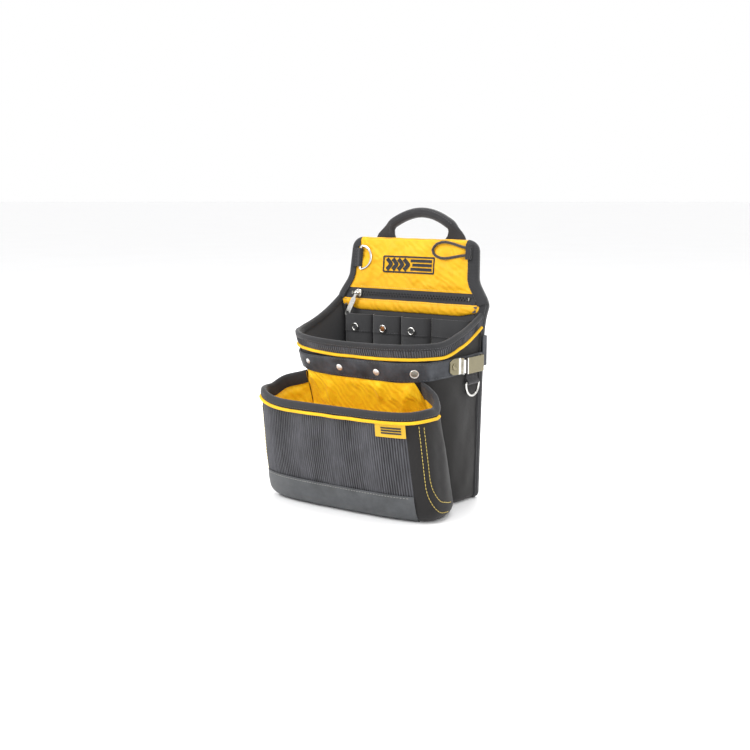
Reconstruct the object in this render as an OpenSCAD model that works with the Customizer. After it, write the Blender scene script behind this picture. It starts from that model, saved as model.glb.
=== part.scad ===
// Electrician's belt pouch: a scoop-mouthed main pouch on a tall back panel, a bulging
// front pocket, a zipped pocket on the panel, a riveted strap, rings, a clip and a handle.
// Millimetres. X is to the right, Y to the back, Z up. The origin is under the middle of the
// whole pouch, on the surface that it stands on.

/* [Main pouch] */
// Half width of the main pouch at its base
main_half_w = 91; // [88:0.5:93]
// Depth of the main pouch at its base, from the back panel to the front
main_base_d = 62; // [58:1:66]
// Depth of the main pouch at its mouth
main_mouth_d = 118; // [112:1:120]
// Height of the front rim
rim_z = 188; // [184:1:192]
// How far the rim rises from the front to the back panel
rim_rise = 36; // [28:1:40]
// Radius of the rounded base edge at the front; at the rear it is half as much
main_edge_r = 14; // [10:1:16]

/* [Back panel] */
// Height of the back panel
panel_top = 296; // [292:1:300]
// Half width at the widest point, beside the rim
ear_half_w = 104; // [102:0.5:106]
// Half width at the waist, above the widest point
waist_half_w = 88.5; // [84:0.5:92]
// Half width at the top
top_half_w = 86; // [82:0.5:90]
// Backward lean of the upper part, in degrees
panel_lean = 6.5; // [4:0.5:8]
// Thickness of the padded panel
panel_t = 8; // [8:0.5:10]

/* [Front pocket] */
// Greatest half width of the front pocket
pocket_half_w = 113.5; // [110:0.5:115]
// Height of the front pocket's rim at the middle
pocket_rim_z = 123; // [118:1:128]
// Height at which the pocket's side gussets start, under the strap
pocket_root_z = 147; // [142:1:148]
// Height of the smooth band along the bottom of the front
kick_z = 32; // [24:1:40]
// Radius of the rounded edge round the pocket's base
pocket_edge_r = 15; // [13:1:18]

/* [Strap and hardware] */
// Width of the riveted strap
strap_w = 20; // [16:1:22]
// Height of the strap's lower edge
strap_z = 149; // [149:0.5:150]
// Spacing of the strap's front rivets
rivet_pitch = 47; // [40:1:50]
// Radius of a rivet cap
rivet_r = 4.2; // [3.5:0.1:4.6]
// Width of the webbing that a D ring takes
ring_webbing = 25; // [20:1:26]
// Diameter of the D rings' wire
ring_wire = 3; // [2.5:0.1:3.4]
// Clear width for a belt behind the panel
belt_gap = 66; // [50:1:70]

/* [Handle] */
// Width of the handle's webbing
webbing_w = 32; // [25:1:38]
// Distance from the middle of one leg to the middle of the other
leg_span = 95; // [88:1:100]
// Height of the grip above the panel's top edge
grip_rise = 36; // [30:1:40]

/* [Hidden] */
$fn = 32;

// Colours
black_cloth = "#2b2b2d";
lining_cloth = "#1f1f22";
yellow_cloth = "#f2b51c";
smooth_black = "#34363a";
nickel = "#c9c9c4";
brass_col = "#b9783a";

// Y of the back panel's front face where it stands upright
back_y = 65;
bend_z = 215;            // height at which the panel starts to lean back
ear_z = 222;             // height of the panel's widest point
waist_z = 256;           // height of the waist
seam_w = 2.3;            // how far the panel stands out past the pouch's wall
layer_gap = 0.3;         // space between two curved layers of cloth
wall_t = 1.8;            // main wall and pocket wall
lining_t = 0.9;
trim_t = 1.2;            // binding tape and ribbed band
big = 800;

// ---------------------------------------------------------------- solids from grids

function flat(grid) = [for (row = grid) each row];

// Closed solid between an outer grid of points and an inner one of the same size. Rows run
// up the outside, and columns run from the right, round the front, to the left.
module between(outer, inner) {
    rows = len(outer);
    cols = len(outer[0]);
    off = rows * cols;
    function o(i, j) = i * cols + j;
    function n(i, j) = off + i * cols + j;
    function quad(a, b, c, d) = [[a, b, c], [a, c, d]];
    faces = [
        for (i = [0:rows - 2], j = [0:cols - 2])
            each concat(quad(o(i, j), o(i, j + 1), o(i + 1, j + 1), o(i + 1, j)),
                        quad(n(i, j), n(i + 1, j), n(i + 1, j + 1), n(i, j + 1))),
        for (j = [0:cols - 2])
            each concat(quad(o(0, j + 1), o(0, j), n(0, j), n(0, j + 1)),
                        quad(o(rows - 1, j), o(rows - 1, j + 1),
                             n(rows - 1, j + 1), n(rows - 1, j))),
        for (i = [0:rows - 2])
            each concat(quad(o(i, 0), o(i + 1, 0), n(i + 1, 0), n(i, 0)),
                        quad(o(i + 1, cols - 1), o(i, cols - 1),
                             n(i, cols - 1), n(i + 1, cols - 1)))
    ];
    polyhedron(points = concat(flat(outer), flat(inner)), faces = faces);
}

// Closed tube through rings of points; each ring is one column, listed from the outside up
module rings(cols) {
    k = len(cols[0]);
    last = len(cols) - 1;
    faces = [
        for (j = [0:last - 1], i = [0:k - 1])
            each [[j * k + i, (j + 1) * k + i, (j + 1) * k + (i + 1) % k],
                  [j * k + i, (j + 1) * k + (i + 1) % k, j * k + (i + 1) % k]],
        for (i = [1:k - 2]) [0, i, i + 1],
        for (i = [1:k - 2]) [last * k, last * k + i + 1, last * k + i]
    ];
    polyhedron(points = flat(cols), faces = faces);
}

// Solid that follows a surface: surf(a, z, off) gives a point, stations are the values of a,
// and skin(a, side) lists the [offset, height] pairs of one side of the cloth
module follow(surf, stations, skin) {
    function grid(side) = [for (r = [0:len(skin(stations[0], side)) - 1])
        [for (a = stations) let (p = skin(a, side)[r]) surf(a, p[1], p[0])]];
    between(grid(0), grid(1));
}

// Round cord laid along a surface at a height z_at(a)
module cord_on(surf, stations, z_at, offset, r, sides = 8) {
    rings([for (a = stations) [for (i = [0:sides - 1])
        let (p = 360 * i / sides) surf(a, z_at(a) + r * sin(p), offset + r * cos(p))]]);
}

// ---------------------------------------------------------------- main pouch surface

main_n = 4;              // squareness of the plan

function main_w(z) = main_half_w + 0.022 * z + pow(z / 190, 3)
    + (ear_half_w - seam_w - main_half_w - 6.5) * pow(max(0, z - 185) / (ear_z - 185), 2);
function main_d(z) = main_base_d + 0.24 * z
    + (main_mouth_d - main_base_d - 0.24 * rim_z) * pow(max(0, z - 80) / (rim_z - 80), 2);
function main_belly(z) = 9 * z / rim_z;     // extra half width towards the front

// Point of the pouch's outer face, moved outwards by off. At a = 0 it is at the right rear
// edge, at 90 in the middle of the front, and at 180 at the left rear edge.
function main_at(a, z, off) =
    let (w = main_w(z), d = main_d(z), e = 2 / main_n,
         cx = sign(cos(a)) * pow(abs(cos(a)), e), sy = pow(max(0, sin(a)), e),
         g = [sign(cx) * pow(abs(cx), main_n - 1) / w, -pow(sy, main_n - 1) / d],
         u = g / norm(g))
    [(w + main_belly(z) * sy) * cx + off * u[0], back_y - d * sy + off * u[1], z];

// Share of the half width and of the depth at which the front reaches x, by iteration
function depth_share(c) = pow(max(0, 1 - pow(c, main_n)), 1 / main_n);
function width_share(x, z, c = 0, n = 6) =
    n == 0 ? c : width_share(x, z, min(1, abs(x) / (main_w(z) + main_belly(z)
                                                     * depth_share(c))), n - 1);
function main_face_y(x, z) = back_y - main_d(z) * depth_share(width_share(x, z));
function main_angle(x, z) = acos(sign(x) * pow(width_share(x, z), main_n / 2));

scoop_d = 85;            // the rim rises over this distance from the back panel
function rim_at(a) = let (d = main_mouth_d * pow(max(0, sin(a)), 2 / main_n))
    rim_z + rim_rise * pow(max(0, 1 - d / scoop_d), 1.7);

main_stations = [0, 2, 5, 9, 14, 20, 27, 34, 41, 48, 55, 62, 69, 76, 83, 90,
                 97, 104, 111, 118, 125, 132, 139, 146, 153, 160, 166, 171, 175, 178, 180];

function main_edge(a) = main_edge_r * (0.5 + 0.5 * sin(a));

// Offsets and heights from the rounded base edge up to the rim
function wall_rows(a, off, edge_r, top, steps) = concat(
    [for (p = [90:-30:30]) [(edge_r + off) * cos(p) - edge_r, edge_r - (edge_r + off) * sin(p)]],
    [for (i = [0:steps]) [off, edge_r + (top - edge_r) * i / steps]]);

// ---------------------------------------------------------------- front pocket surface

pocket_n = 3.2;          // squareness at the front corners
rear_n = 2.2;            // squareness where the gussets turn in
rear_a = 45;             // angle at which a gusset meets the main pouch

function pocket_w(z) = pocket_half_w + 2.5 - 4 * pow(z / pocket_rim_z, 2);
function pocket_mid_y(z) = -34 - 0.15 * z;
function pocket_front_y(z) = -69 - 0.33 * z + 0.00115 * z * z;
function pocket_rear_d(z) =
    let (k = pow(cos(rear_a), 2 / rear_n))
    (main_face_y(pocket_w(z) * k, z) - 2 - pocket_mid_y(z)) / k;

// Point of the pocket's outer face, moved outwards by off. Angles below 0 and above 180 are
// on the parts of the gussets that turn in towards the main pouch.
function pocket_at(a, z, off) =
    let (w = pocket_w(z), rear = a < 0 || a > 180,
         m = rear ? rear_n : pocket_n, e = 2 / m,
         d = rear ? pocket_rear_d(z) : pocket_mid_y(z) - pocket_front_y(z),
         cx = sign(cos(a)) * pow(abs(cos(a)), e), sy = pow(abs(sin(a)), e),
         g = [sign(cx) * pow(abs(cx), m - 1) / w, (rear ? 1 : -1) * pow(sy, m - 1) / d],
         u = g / norm(g))
    [w * cx + off * u[0], pocket_mid_y(z) + (rear ? 1 : -1) * d * sy + off * u[1], z];

pocket_corner_lift = 3;  // how much higher the rim is at the sides than in the middle

// The rim is nearly level across the front and climbs to the root along the gussets
function pocket_rim_at(a) = let (s = a < 0 ? -sin(a) : a > 180 ? -sin(a) : 0)
    pocket_rim_z + pocket_corner_lift * (s > 0 ? 1 : pow(abs(cos(a)), 6))
    + (pocket_root_z - pocket_rim_z - pocket_corner_lift) * pow(s / sin(rear_a), 1.2);

corner_a = 40;           // angle at which the front panel meets a gusset
right_stations = [-rear_a, -38, -30, -22, -14, -7, 0, 4, 10, 17, 24, 32, corner_a];
front_stations = [corner_a, 45, 52, 60, 68, 76, 84, 90,
                  96, 104, 112, 120, 128, 135, 180 - corner_a];
left_stations = [for (i = [len(right_stations) - 1:-1:0]) 180 - right_stations[i]];
pocket_stations = concat(right_stations, [for (i = [1:len(front_stations) - 2])
    front_stations[i]], left_stations);

// ---------------------------------------------------------------- back panel shapes

function smooth(t) = t * t * (3 - 2 * t);
function mix(a, b, t) = a + (b - a) * t;

// Half width of the padded panel at a height, before its corners are rounded
function panel_half(z) =
    z <= ear_z ? main_w(z) + seam_w
    : z <= waist_z ? mix(ear_half_w, waist_half_w, smooth((z - ear_z) / (waist_z - ear_z)))
    : mix(waist_half_w, top_half_w, (z - waist_z) / (panel_top - waist_z));

corner_r = 12;           // radius of the panel's top corners
foot_r = 7;              // radius of its bottom corners

// Half width with the corners rounded and the edge moved in by m
function panel_edge(z, m) =
    z > panel_top - corner_r
        ? panel_half(z) - corner_r
          + sqrt(max(0, pow(corner_r - m, 2) - pow(z - panel_top + corner_r, 2)))
    : z < foot_r
        ? panel_half(z) - foot_r + sqrt(max(0, pow(foot_r - m, 2) - pow(foot_r - z, 2)))
    : panel_half(z) - m;

// Heights at which the outline is sampled, between z0 and z1
function heights(z0, z1, m) = concat(
    z0 < foot_r ? [for (p = [0:15:75]) foot_r - (foot_r - m) * cos(p)] : [z0],
    [for (z = [foot_r:14:bend_z]) if (z > z0 + 0.5 && z < z1 - 0.5) z],
    [for (z = [bend_z + 3:4:waist_z + 4]) if (z > z0 + 0.5 && z < z1 - 0.5) z],
    [for (z = [waist_z + 8:8:panel_top - corner_r - 2])
        if (z > z0 + 0.5 && z < z1 - 0.5) z],
    z1 > panel_top - corner_r
        ? [for (p = [0:15:90]) panel_top - corner_r + (corner_r - m) * sin(p)] : [z1]);

// Outline of the panel in X and Z, moved in by m, between two heights
module outline(z0 = 0, z1 = panel_top, m = 0) {
    zs = heights(z0, z1, m);
    polygon(concat([for (z = zs) [panel_edge(z, m), z]],
                   [for (i = [len(zs) - 1:-1:0]) [-panel_edge(zs[i], m), zs[i]]]));
}

// Part of the leaning panel between two distances behind its front face
module slab(y0, y1) {
    up = panel_top - bend_z + 60;
    function foot(y) = [back_y + y, -10];
    function bend(y) = [back_y + y, bend_z - y * tan(panel_lean / 2)];
    function top(y) = [back_y + y * cos(panel_lean) + up * sin(panel_lean),
                       bend_z - y * sin(panel_lean) + up * cos(panel_lean)];
    intersection() {
        rotate([90, 0, 90]) linear_extrude(big, center = true)
            polygon([foot(y0), bend(y0), top(y0), top(y1), bend(y1), foot(y1)]);
        rotate([90, 0, 0]) linear_extrude(big, center = true) children();
    }
}

// Places parts on the upper panel: y is 0 on its front face, z is measured up the panel
module on_panel() {
    translate([0, back_y, bend_z]) rotate([-panel_lean, 0, 0]) translate([0, 0, -bend_z])
        children();
}

// A strip across the panel between two heights, with its ends moved in from the edge
module strip(z0, z1, m) {
    zs = [for (z = [z0:(z1 - z0) / 4:z1 + 0.01]) z];
    polygon(concat([for (z = zs) [panel_edge(z, m), z]],
                   [for (i = [len(zs) - 1:-1:0]) [-panel_edge(zs[i], m), zs[i]]]));
}

// Layers of the panel, as distances behind its front face
cover_y = [panel_t - 1.8, panel_t];
foam_y = [3.3, panel_t - 1.9];
board_y = [2.1, 3.2];
bag_y = [1.1, 2];
lining_y = [0, 1];
front_y = [-1.2, -0.2];      // yellow panel, zip tapes and strip
bind_t = 1;
bind_w = 11;                 // how far the binding reaches in over the panel

module back_cover() {
    color(black_cloth) slab(cover_y[0], cover_y[1]) outline();
}

module back_foam() {
    color("#55565a") slab(foam_y[0], foam_y[1]) outline(m = 0.6);
}

module back_stiffener() {
    color("#8a8c90") slab(board_y[0], board_y[1]) outline(m = 6);
}

module back_lining() {
    color(lining_cloth) slab(lining_y[0], lining_y[1]) outline(m = 0.2);
}

module zip_bag() {
    color(lining_cloth) slab(bag_y[0], bag_y[1]) strip(130, 286, 14);
}

top_open = top_half_w - bind_w - 1;     // half width of the top edge left unbound

// Binding up each side of the upper panel, from the mouth round the top corner
module panel_binding() {
    bottom = ear_z + 4;
    color(black_cloth) difference() {
        slab(front_y[0] - layer_gap - bind_t, panel_t + 0.1 + bind_t)
            outline(bottom, m = -bind_t);
        slab(front_y[0] - layer_gap, panel_t + 0.1) outline(bottom - 20, m = -0.1);
        slab(-30, 30) union() {
            outline(bottom - 20, m = bind_w);
            translate([-top_open, ear_z]) square([2 * top_open, 120]);
        }
    }
}

// Binding down both side seams and along the foot of the back panel
module seam_binding() {
    top = ear_z + 3.5;
    color(black_cloth) difference() {
        slab(-bind_t, panel_t + 0.1 + bind_t) difference() {
            outline(0.01, top);
            outline(-1, top + 1, m = bind_w);
        }
        slab(-bind_t - 1, panel_t + 0.1) outline(-2, top + 20, m = -0.1);
    }
}

// ---------------------------------------------------------------- belt sleeve

sleeve_half_w = 60;
sleeve_t = 2.2;
sleeve_stand = 9;        // clear depth for a belt
sleeve_z = 118;
flange = 12;             // height of the riveted strips above and below the gap

module belt_sleeve() {
    y = back_y + panel_t + 0.2;
    z0 = sleeve_z;
    z1 = sleeve_z + belt_gap;
    out = y + sleeve_stand;
    color(smooth_black) translate([-sleeve_half_w, 0, 0]) rotate([90, 0, 90])
        linear_extrude(2 * sleeve_half_w) polygon([
            [y, z0 - flange], [y + sleeve_t, z0 - flange], [y + sleeve_t, z0 - 3],
            [out + sleeve_t, z0 + 5], [out + sleeve_t, z1 - 5], [y + sleeve_t, z1 + 3],
            [y + sleeve_t, z1 + flange], [y, z1 + flange], [y, z1], [out, z1 - 7],
            [out, z0 + 7], [y, z0]]);
}

module cap(r, h) {
    rotate_extrude() polygon([[0, 0], [r, 0], [r, h * 0.35], [r * 0.85, h * 0.75],
                              [r * 0.5, h], [0, h]]);
}

module belt_sleeve_rivets() {
    y = back_y + panel_t + 0.2 + sleeve_t + 0.05;
    color(nickel) for (x = [-sleeve_half_w + 10, sleeve_half_w - 10],
                       z = [sleeve_z - flange / 2 - 2.5, sleeve_z + belt_gap + flange / 2 + 2.5])
        translate([x, y, z]) rotate([-90, 0, 0]) cap(3.4, 1.6);
}

// ---------------------------------------------------------------- main pouch

module main_wall() {
    color(black_cloth) follow(function (a, z, off) main_at(a, z, off), main_stations,
        function (a, side) wall_rows(a, side == 0 ? 0 : -wall_t, main_edge(a),
                                     rim_at(a) - trim_t - layer_gap, 10));
}

module main_lining() {
    out = -wall_t - 0.2;
    color(lining_cloth) follow(function (a, z, off) main_at(a, z, off), main_stations,
        function (a, side) wall_rows(a, side == 0 ? out : out - lining_t, main_edge(a),
                                     rim_at(a) - trim_t - layer_gap, 10));
}

// Flat plate inside the rounded base edge of the main pouch
module main_plate(z0, z1) {
    edge = [for (a = main_stations) main_at(a, 0, -main_edge(a) - layer_gap)];
    translate([0, 0, z0]) linear_extrude(z1 - z0)
        polygon([for (p = edge) [p[0], min(p[1], back_y - 0.1)]]);
}

module main_base() {
    color(black_cloth) main_plate(0, wall_t);
}

module base_board() {
    color("#8a8c90") main_plate(wall_t + 0.2, wall_t + 1.8);
}

module floor_lining() {
    color(lining_cloth) main_plate(wall_t + 2, wall_t + 2.9);
}

binding_h = 7;           // how far the mouth binding reaches down from the rim
band_h = 8;              // height of the ribbed band under it

module mouth_band() {
    color(black_cloth) follow(function (a, z, off) main_at(a, z, off), main_stations,
        function (a, side) [for (i = [0:1])
            [2 * layer_gap + (side == 0 ? trim_t : 0),
             rim_at(a) - binding_h - band_h + 0.2 + i * (band_h - 0.5)]]);
}

module mouth_binding() {
    in0 = -wall_t - 0.2 - lining_t - layer_gap;
    color(black_cloth) follow(function (a, z, off) main_at(a, z, off), main_stations,
        function (a, side) let (z = rim_at(a)) side == 0
            ? [[layer_gap + trim_t, z - binding_h], [layer_gap + trim_t, z - 1.5],
               [-0.2, z], [in0 + 0.2, z], [in0 - trim_t, z - 1.5],
               [in0 - trim_t, z - binding_h]]
            : [[layer_gap, z - binding_h], [layer_gap, z - 1.5],
               [-0.4, z - trim_t], [in0 + 0.4, z - trim_t], [in0, z - 1.5],
               [in0, z - binding_h]]);
}

piping_r = 1.8;

module mouth_piping() {
    color(yellow_cloth) cord_on(function (a, z, off) main_at(a, z, off), main_stations,
        function (a) rim_at(a) - binding_h - band_h - piping_r, layer_gap + piping_r,
        piping_r);
}

// ---------------------------------------------------------------- inner tool sleeves

sleeve_seams = [-88, -47.5, -7, 33.5];
sleeve_top = 198;            // the hem above it ends just under the hanging zip puller
sleeve_foot = 70;
sleeve_bulge = 13;
loose_w = 52;            // width of the flat pocket beside the sleeves
loose_bulge = 7;

// Outline of one bulge of the sleeves' front sheet, of width w and depth d
function bulge(x0, w, d) = [for (p = [180:-11.25:0])
    [x0 + w / 2 + w / 2 * cos(p), back_y - 0.2 - d * pow(max(0, sin(p)), 0.7)]];

function sleeve_w(s) = s < 3 ? sleeve_seams[s + 1] - sleeve_seams[s] : loose_w;
function sleeve_d(s) = s < 3 ? sleeve_bulge : loose_bulge;

// Plan of the sleeves' front sheet: three bulges and one flatter pocket
module sleeve_plan() {
    t = 1.25;
    difference() {
        union() for (s = [0:3])
            polygon(bulge(sleeve_seams[s] - t / 2, sleeve_w(s) + t, sleeve_d(s)));
        for (s = [0:3])
            polygon(bulge(sleeve_seams[s] + t / 2, sleeve_w(s) - t, sleeve_d(s) - t));
    }
}

module inner_sleeves() {
    color(lining_cloth) translate([0, 0, sleeve_foot])
        linear_extrude(sleeve_top - sleeve_foot) sleeve_plan();
}

// Folded hem along the top of the sleeves
module sleeve_hem() {
    color(black_cloth) translate([0, 0, sleeve_top + 0.2]) linear_extrude(2.4) sleeve_plan();
}

eyelet_z = 190;
eyelet_r = 5;
eyelet_hole_r = 2.4;

module at_eyelets(y) {
    for (s = [0:2])
        translate([(sleeve_seams[s] + sleeve_seams[s + 1]) / 2,
                   back_y - 0.2 - sleeve_bulge - y, eyelet_z]) rotate([90, 0, 0]) children();
}

module sleeve_eyelets() {
    color(nickel) at_eyelets(0.4) rotate_extrude()
        polygon([[eyelet_hole_r, 0], [eyelet_r, 0], [eyelet_r - 0.5, 1.1],
                 [eyelet_hole_r + 0.6, 1.4], [eyelet_hole_r, 1]]);
}

module eyelet_washers() {
    color(brass_col) at_eyelets(0.4) rotate_extrude()
        polygon([[0, 0.05], [eyelet_hole_r - 0.1, 0.05], [eyelet_hole_r - 0.1, 0.6],
                 [0, 0.6]]);
}

// ---------------------------------------------------------------- riveted strap

strap_t = 2;
side_lift = 2.5;         // how much higher the strap runs along the sides

// The strap stands off the wall towards the rear, to pass over the bound seam
function strap_off(a) = layer_gap + 3.4 * pow(abs(cos(a)), 60);
function strap_z_at(a) = strap_z + side_lift * pow(abs(cos(a)), 12);

module rivet_strap() {
    color(smooth_black) follow(function (a, z, off) main_at(a, z, off), main_stations,
        function (a, side) [for (i = [0:2])
            [strap_off(a) + (side == 0 ? strap_t : 0), strap_z_at(a) + i * strap_w / 2]]);
}

tail_reach = 24;         // how far a tail runs in over the back
tail_h = 34;
tail_t = 1.6;
tail_z = strap_z + side_lift + 4;

// Tabs that take the strap's ends round the bound edges and onto the back
module strap_tails() {
    x0 = main_w(tail_z + tail_h) + seam_w + bind_t + 0.2;
    x1 = x0 + tail_t;
    y1 = back_y + panel_t + bind_t + 0.3;
    y2 = y1 + tail_t;
    color(smooth_black) for (s = [-1, 1]) translate([0, 0, tail_z]) linear_extrude(tail_h)
        polygon([for (p = [[x0, back_y + 0.1], [x1, back_y + 0.1], [x1, y2 - 1], [x1 - 1, y2],
                           [x0 - tail_reach, y2], [x0 - tail_reach, y1], [x0, y1]])
                 [s * p[0], p[1]]]);
}

// Places a child on the strap's outer face, with its axis square to the face
module on_strap(a, lift) {
    z = strap_z_at(a) + strap_w / 2;
    off = strap_off(a) + strap_t;
    along = main_at(a + 1, z, off) - main_at(a - 1, z, off);
    up = main_at(a, z + 1, off) - main_at(a, z - 1, off);
    out = cross(up, along) / norm(cross(up, along));
    translate(main_at(a, z, off) + lift * out)
        rotate([0, acos(out[2]), atan2(out[1], out[0])]) children();
}

rivet_shift = 3;         // the front rivets sit a little to the right of the middle

module strap_rivets() {
    color(nickel) {
        for (i = [-1.5:1:1.5])
            on_strap(main_angle(i * rivet_pitch + rivet_shift, strap_z + strap_w / 2), 0.35)
                cap(rivet_r, 1.8);
        for (s = [-1, 1], z = [8, tail_h - 8])
            translate([s * (main_w(strap_z) - 12), back_y + panel_t + bind_t + 0.35 + tail_t,
                       tail_z + z])
                rotate([-90, 0, 0]) cap(3.6, 1.6);
    }
}

// ---------------------------------------------------------------- front pocket

module pocket_shell(stations, out, t, rows) {
    follow(function (a, z, off) pocket_at(a, z, off), stations,
        function (a, side) wall_rows(a, side == 0 ? out : out - t, pocket_edge_r,
                                     pocket_rim_at(a) - trim_t - layer_gap, rows));
}

module pocket_front() {
    color(black_cloth) pocket_shell(front_stations, 0, wall_t, 7);
}

module pocket_gusset_right() {
    color(black_cloth) pocket_shell(right_stations, 0, wall_t, 7);
}

module pocket_gusset_left() {
    color(black_cloth) pocket_shell(left_stations, 0, wall_t, 7);
}

module pocket_lining() {
    color(yellow_cloth) pocket_shell(pocket_stations, -wall_t - 0.2, lining_t, 7);
}

// Plate that closes the pocket's base, from its rounded edge to the main pouch
module pocket_plate(z0, z1) {
    edge = [for (a = pocket_stations) pocket_at(a, 0, -pocket_edge_r - layer_gap)];
    reach = 66;
    behind = [for (x = [-reach:12:reach]) [x, main_face_y(x, 0) - 1]];
    translate([0, 0, z0]) linear_extrude(z1 - z0)
        polygon(concat([for (p = edge) [p[0], min(p[1], main_face_y(p[0], 0) - 1)]], behind));
}

module pocket_base() {
    color(black_cloth) pocket_plate(0, wall_t);
}

module pocket_floor_lining() {
    color(yellow_cloth) pocket_plate(wall_t + 0.2, wall_t + 1.1);
}

// Lining on the main pouch's front, behind the pocket
module pocket_back_lining() {
    reach = [for (a = main_stations) if (a > 60 && a < 120) a];
    color(yellow_cloth) follow(function (a, z, off) main_at(a, z, off), reach,
        function (a, side) [for (i = [0:6])
            [layer_gap + (side == 0 ? lining_t : 0),
             main_edge_r + i * (strap_z - 1 - main_edge_r) / 6]]);
}

module kick_band() {
    out = layer_gap + 0.9;
    color(smooth_black) follow(function (a, z, off) pocket_at(a, z, off),
        [for (a = front_stations) mix(90, a, 0.985)],
        function (a, side) let (off = side == 0 ? out : layer_gap, r = pocket_edge_r) concat(
            [for (p = [60:-20:20]) [(r + off) * cos(p) - r, r - (r + off) * sin(p)]],
            [[off, r], [off, (r + kick_z) / 2], [off, kick_z]]));
}

pocket_binding_h = 9;

module pocket_binding() {
    in0 = -wall_t - 0.2 - lining_t - layer_gap;
    color(black_cloth) follow(function (a, z, off) pocket_at(a, z, off), pocket_stations,
        function (a, side) let (z = pocket_rim_at(a), h = pocket_binding_h) side == 0
            ? [[layer_gap + trim_t, z - h], [layer_gap + trim_t, z - 1.5],
               [-0.2, z], [in0 + 0.2, z], [in0 - trim_t, z - 1.5], [in0 - trim_t, z - h]]
            : [[layer_gap, z - h], [layer_gap, z - 1.5],
               [-0.4, z - trim_t], [in0 + 0.4, z - trim_t], [in0, z - 1.5], [in0, z - h]]);
}

module pocket_piping() {
    color(yellow_cloth) cord_on(function (a, z, off) pocket_at(a, z, off),
        [for (a = pocket_stations) if (a >= -7 && a <= 187) a],
        function (a) pocket_rim_at(a) - pocket_binding_h - piping_r - 0.3,
        layer_gap + piping_r, piping_r);
}

// Plain folded label that hangs from the piping
module tag_label() {
    top = pocket_rim_z - pocket_binding_h - 2 * piping_r - 0.8;
    color(yellow_cloth) follow(function (a, z, off) pocket_at(a, z, off), [38, 45, 52, 60, 66],
        function (a, side) [for (i = [0:2])
            [layer_gap + (side == 0 ? 1 : 0), top - 15 + i * 7.5]]);
}

// ---------------------------------------------------------------- zipped pocket

zip_z = [224, 235];          // lower and upper edge of the zip
zip_mid = (zip_z[0] + zip_z[1]) / 2;
zip_half = 80;               // half the length of the chain
yellow_foot = 236;
strip_foot = 210;
tooth_pitch = 4;

hem_h = 14;                  // how far the yellow cloth folds over to the back
hem_t = 1;

// Yellow cloth above the zip, folded over the top edge and down the back
module yellow_panel() {
    color(yellow_cloth) {
        slab(front_y[0], front_y[1]) intersection() {
            outline(ear_z, m = bind_w - 4);
            translate([-big / 2, yellow_foot]) square([big, 200]);
        }
        difference() {
            slab(front_y[0], panel_t + 0.1 + hem_t) intersection() {
                outline(ear_z, m = -0.1 - hem_t);
                translate([0.3 - top_open, panel_top - hem_h])
                    square([2 * top_open - 0.6, 40]);
            }
            slab(front_y[1], panel_t + 0.1) outline(ear_z, m = -0.1);
        }
    }
}

module badge_patch() {
    color(black_cloth) on_panel() translate([-36, front_y[0] - 0.9, 256]) cube([70, 0.7, 18]);
}

module zip_tape(z0, z1) {
    color(black_cloth) slab(front_y[0], front_y[1]) strip(z0, z1, 11.6);
}

module zip_tape_upper() {
    zip_tape(zip_mid + 2.2, yellow_foot - 0.2);
}

module zip_tape_lower() {
    zip_tape(zip_z[0], zip_mid - 2.2);
}

module zip_teeth() {
    count = floor(2 * zip_half / tooth_pitch);
    color(black_cloth) on_panel() for (i = [0:count - 1], s = [0, 1])
        translate([-zip_half + (i + s / 2) * tooth_pitch, front_y[0] - 0.9,
                   zip_mid + (s == 0 ? -2 : -0.2)])
            cube([tooth_pitch * 0.42, 1.9, 2.2]);
}

module zip_stops() {
    color(nickel) on_panel() for (x = [-zip_half - 2.6, zip_half + 0.7])
        translate([x, front_y[0] - 0.9, zip_mid - 2.1]) cube([1.9, 2, 4.2]);
}

module zip_strip() {
    color(yellow_cloth) slab(front_y[0] - 1.6, front_y[1]) strip(strip_foot, zip_z[0] - 0.3, 8);
}

slider_x = -72;              // middle of the slider at rest, at the left end of the zip
slider_l = 9.5;
slider_w = 8.4;
bridge_r = 0.8;
bridge_y = -7.2;             // middle of the bridge, in front of the panel
puller_tilt = 24;            // how far the hanging puller leans from straight down
puller_l = 30;

// Slider: a wing over the teeth, a flange down each side of them, and the puller's bridge
module zip_slider() {
    wing_y = front_y[0] - 1.3;          // underside of the wing, clear of the teeth
    wing_t = 1.5;
    color(nickel) on_panel() translate([slider_x, 0, zip_mid]) {
        difference() {
            translate([-slider_l / 2, wing_y - wing_t, -slider_w / 2])
                cube([slider_l, wing_t + 1.1, slider_w]);
            translate([-slider_l, wing_y, -slider_w / 2 + 1]) cube([3 * slider_l, 3, slider_w - 2]);
            for (s = [-1, 1])
                translate([slider_l / 2 + 0.4, wing_y, s * slider_w / 2]) rotate([0, 45, 0])
                    cube([3, 8, 3], center = true);
        }
        for (x = [-slider_l / 2 + 0.6, slider_l / 2 - 1.8])
            translate([x, bridge_y, -1]) cube([1.2, wing_y - wing_t + 0.2 - bridge_y, 2]);
        translate([-slider_l / 2 + 0.6, bridge_y, 0]) rotate([0, 90, 0])
            cylinder(h = slider_l - 1.2, r = bridge_r);
    }
}

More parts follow.
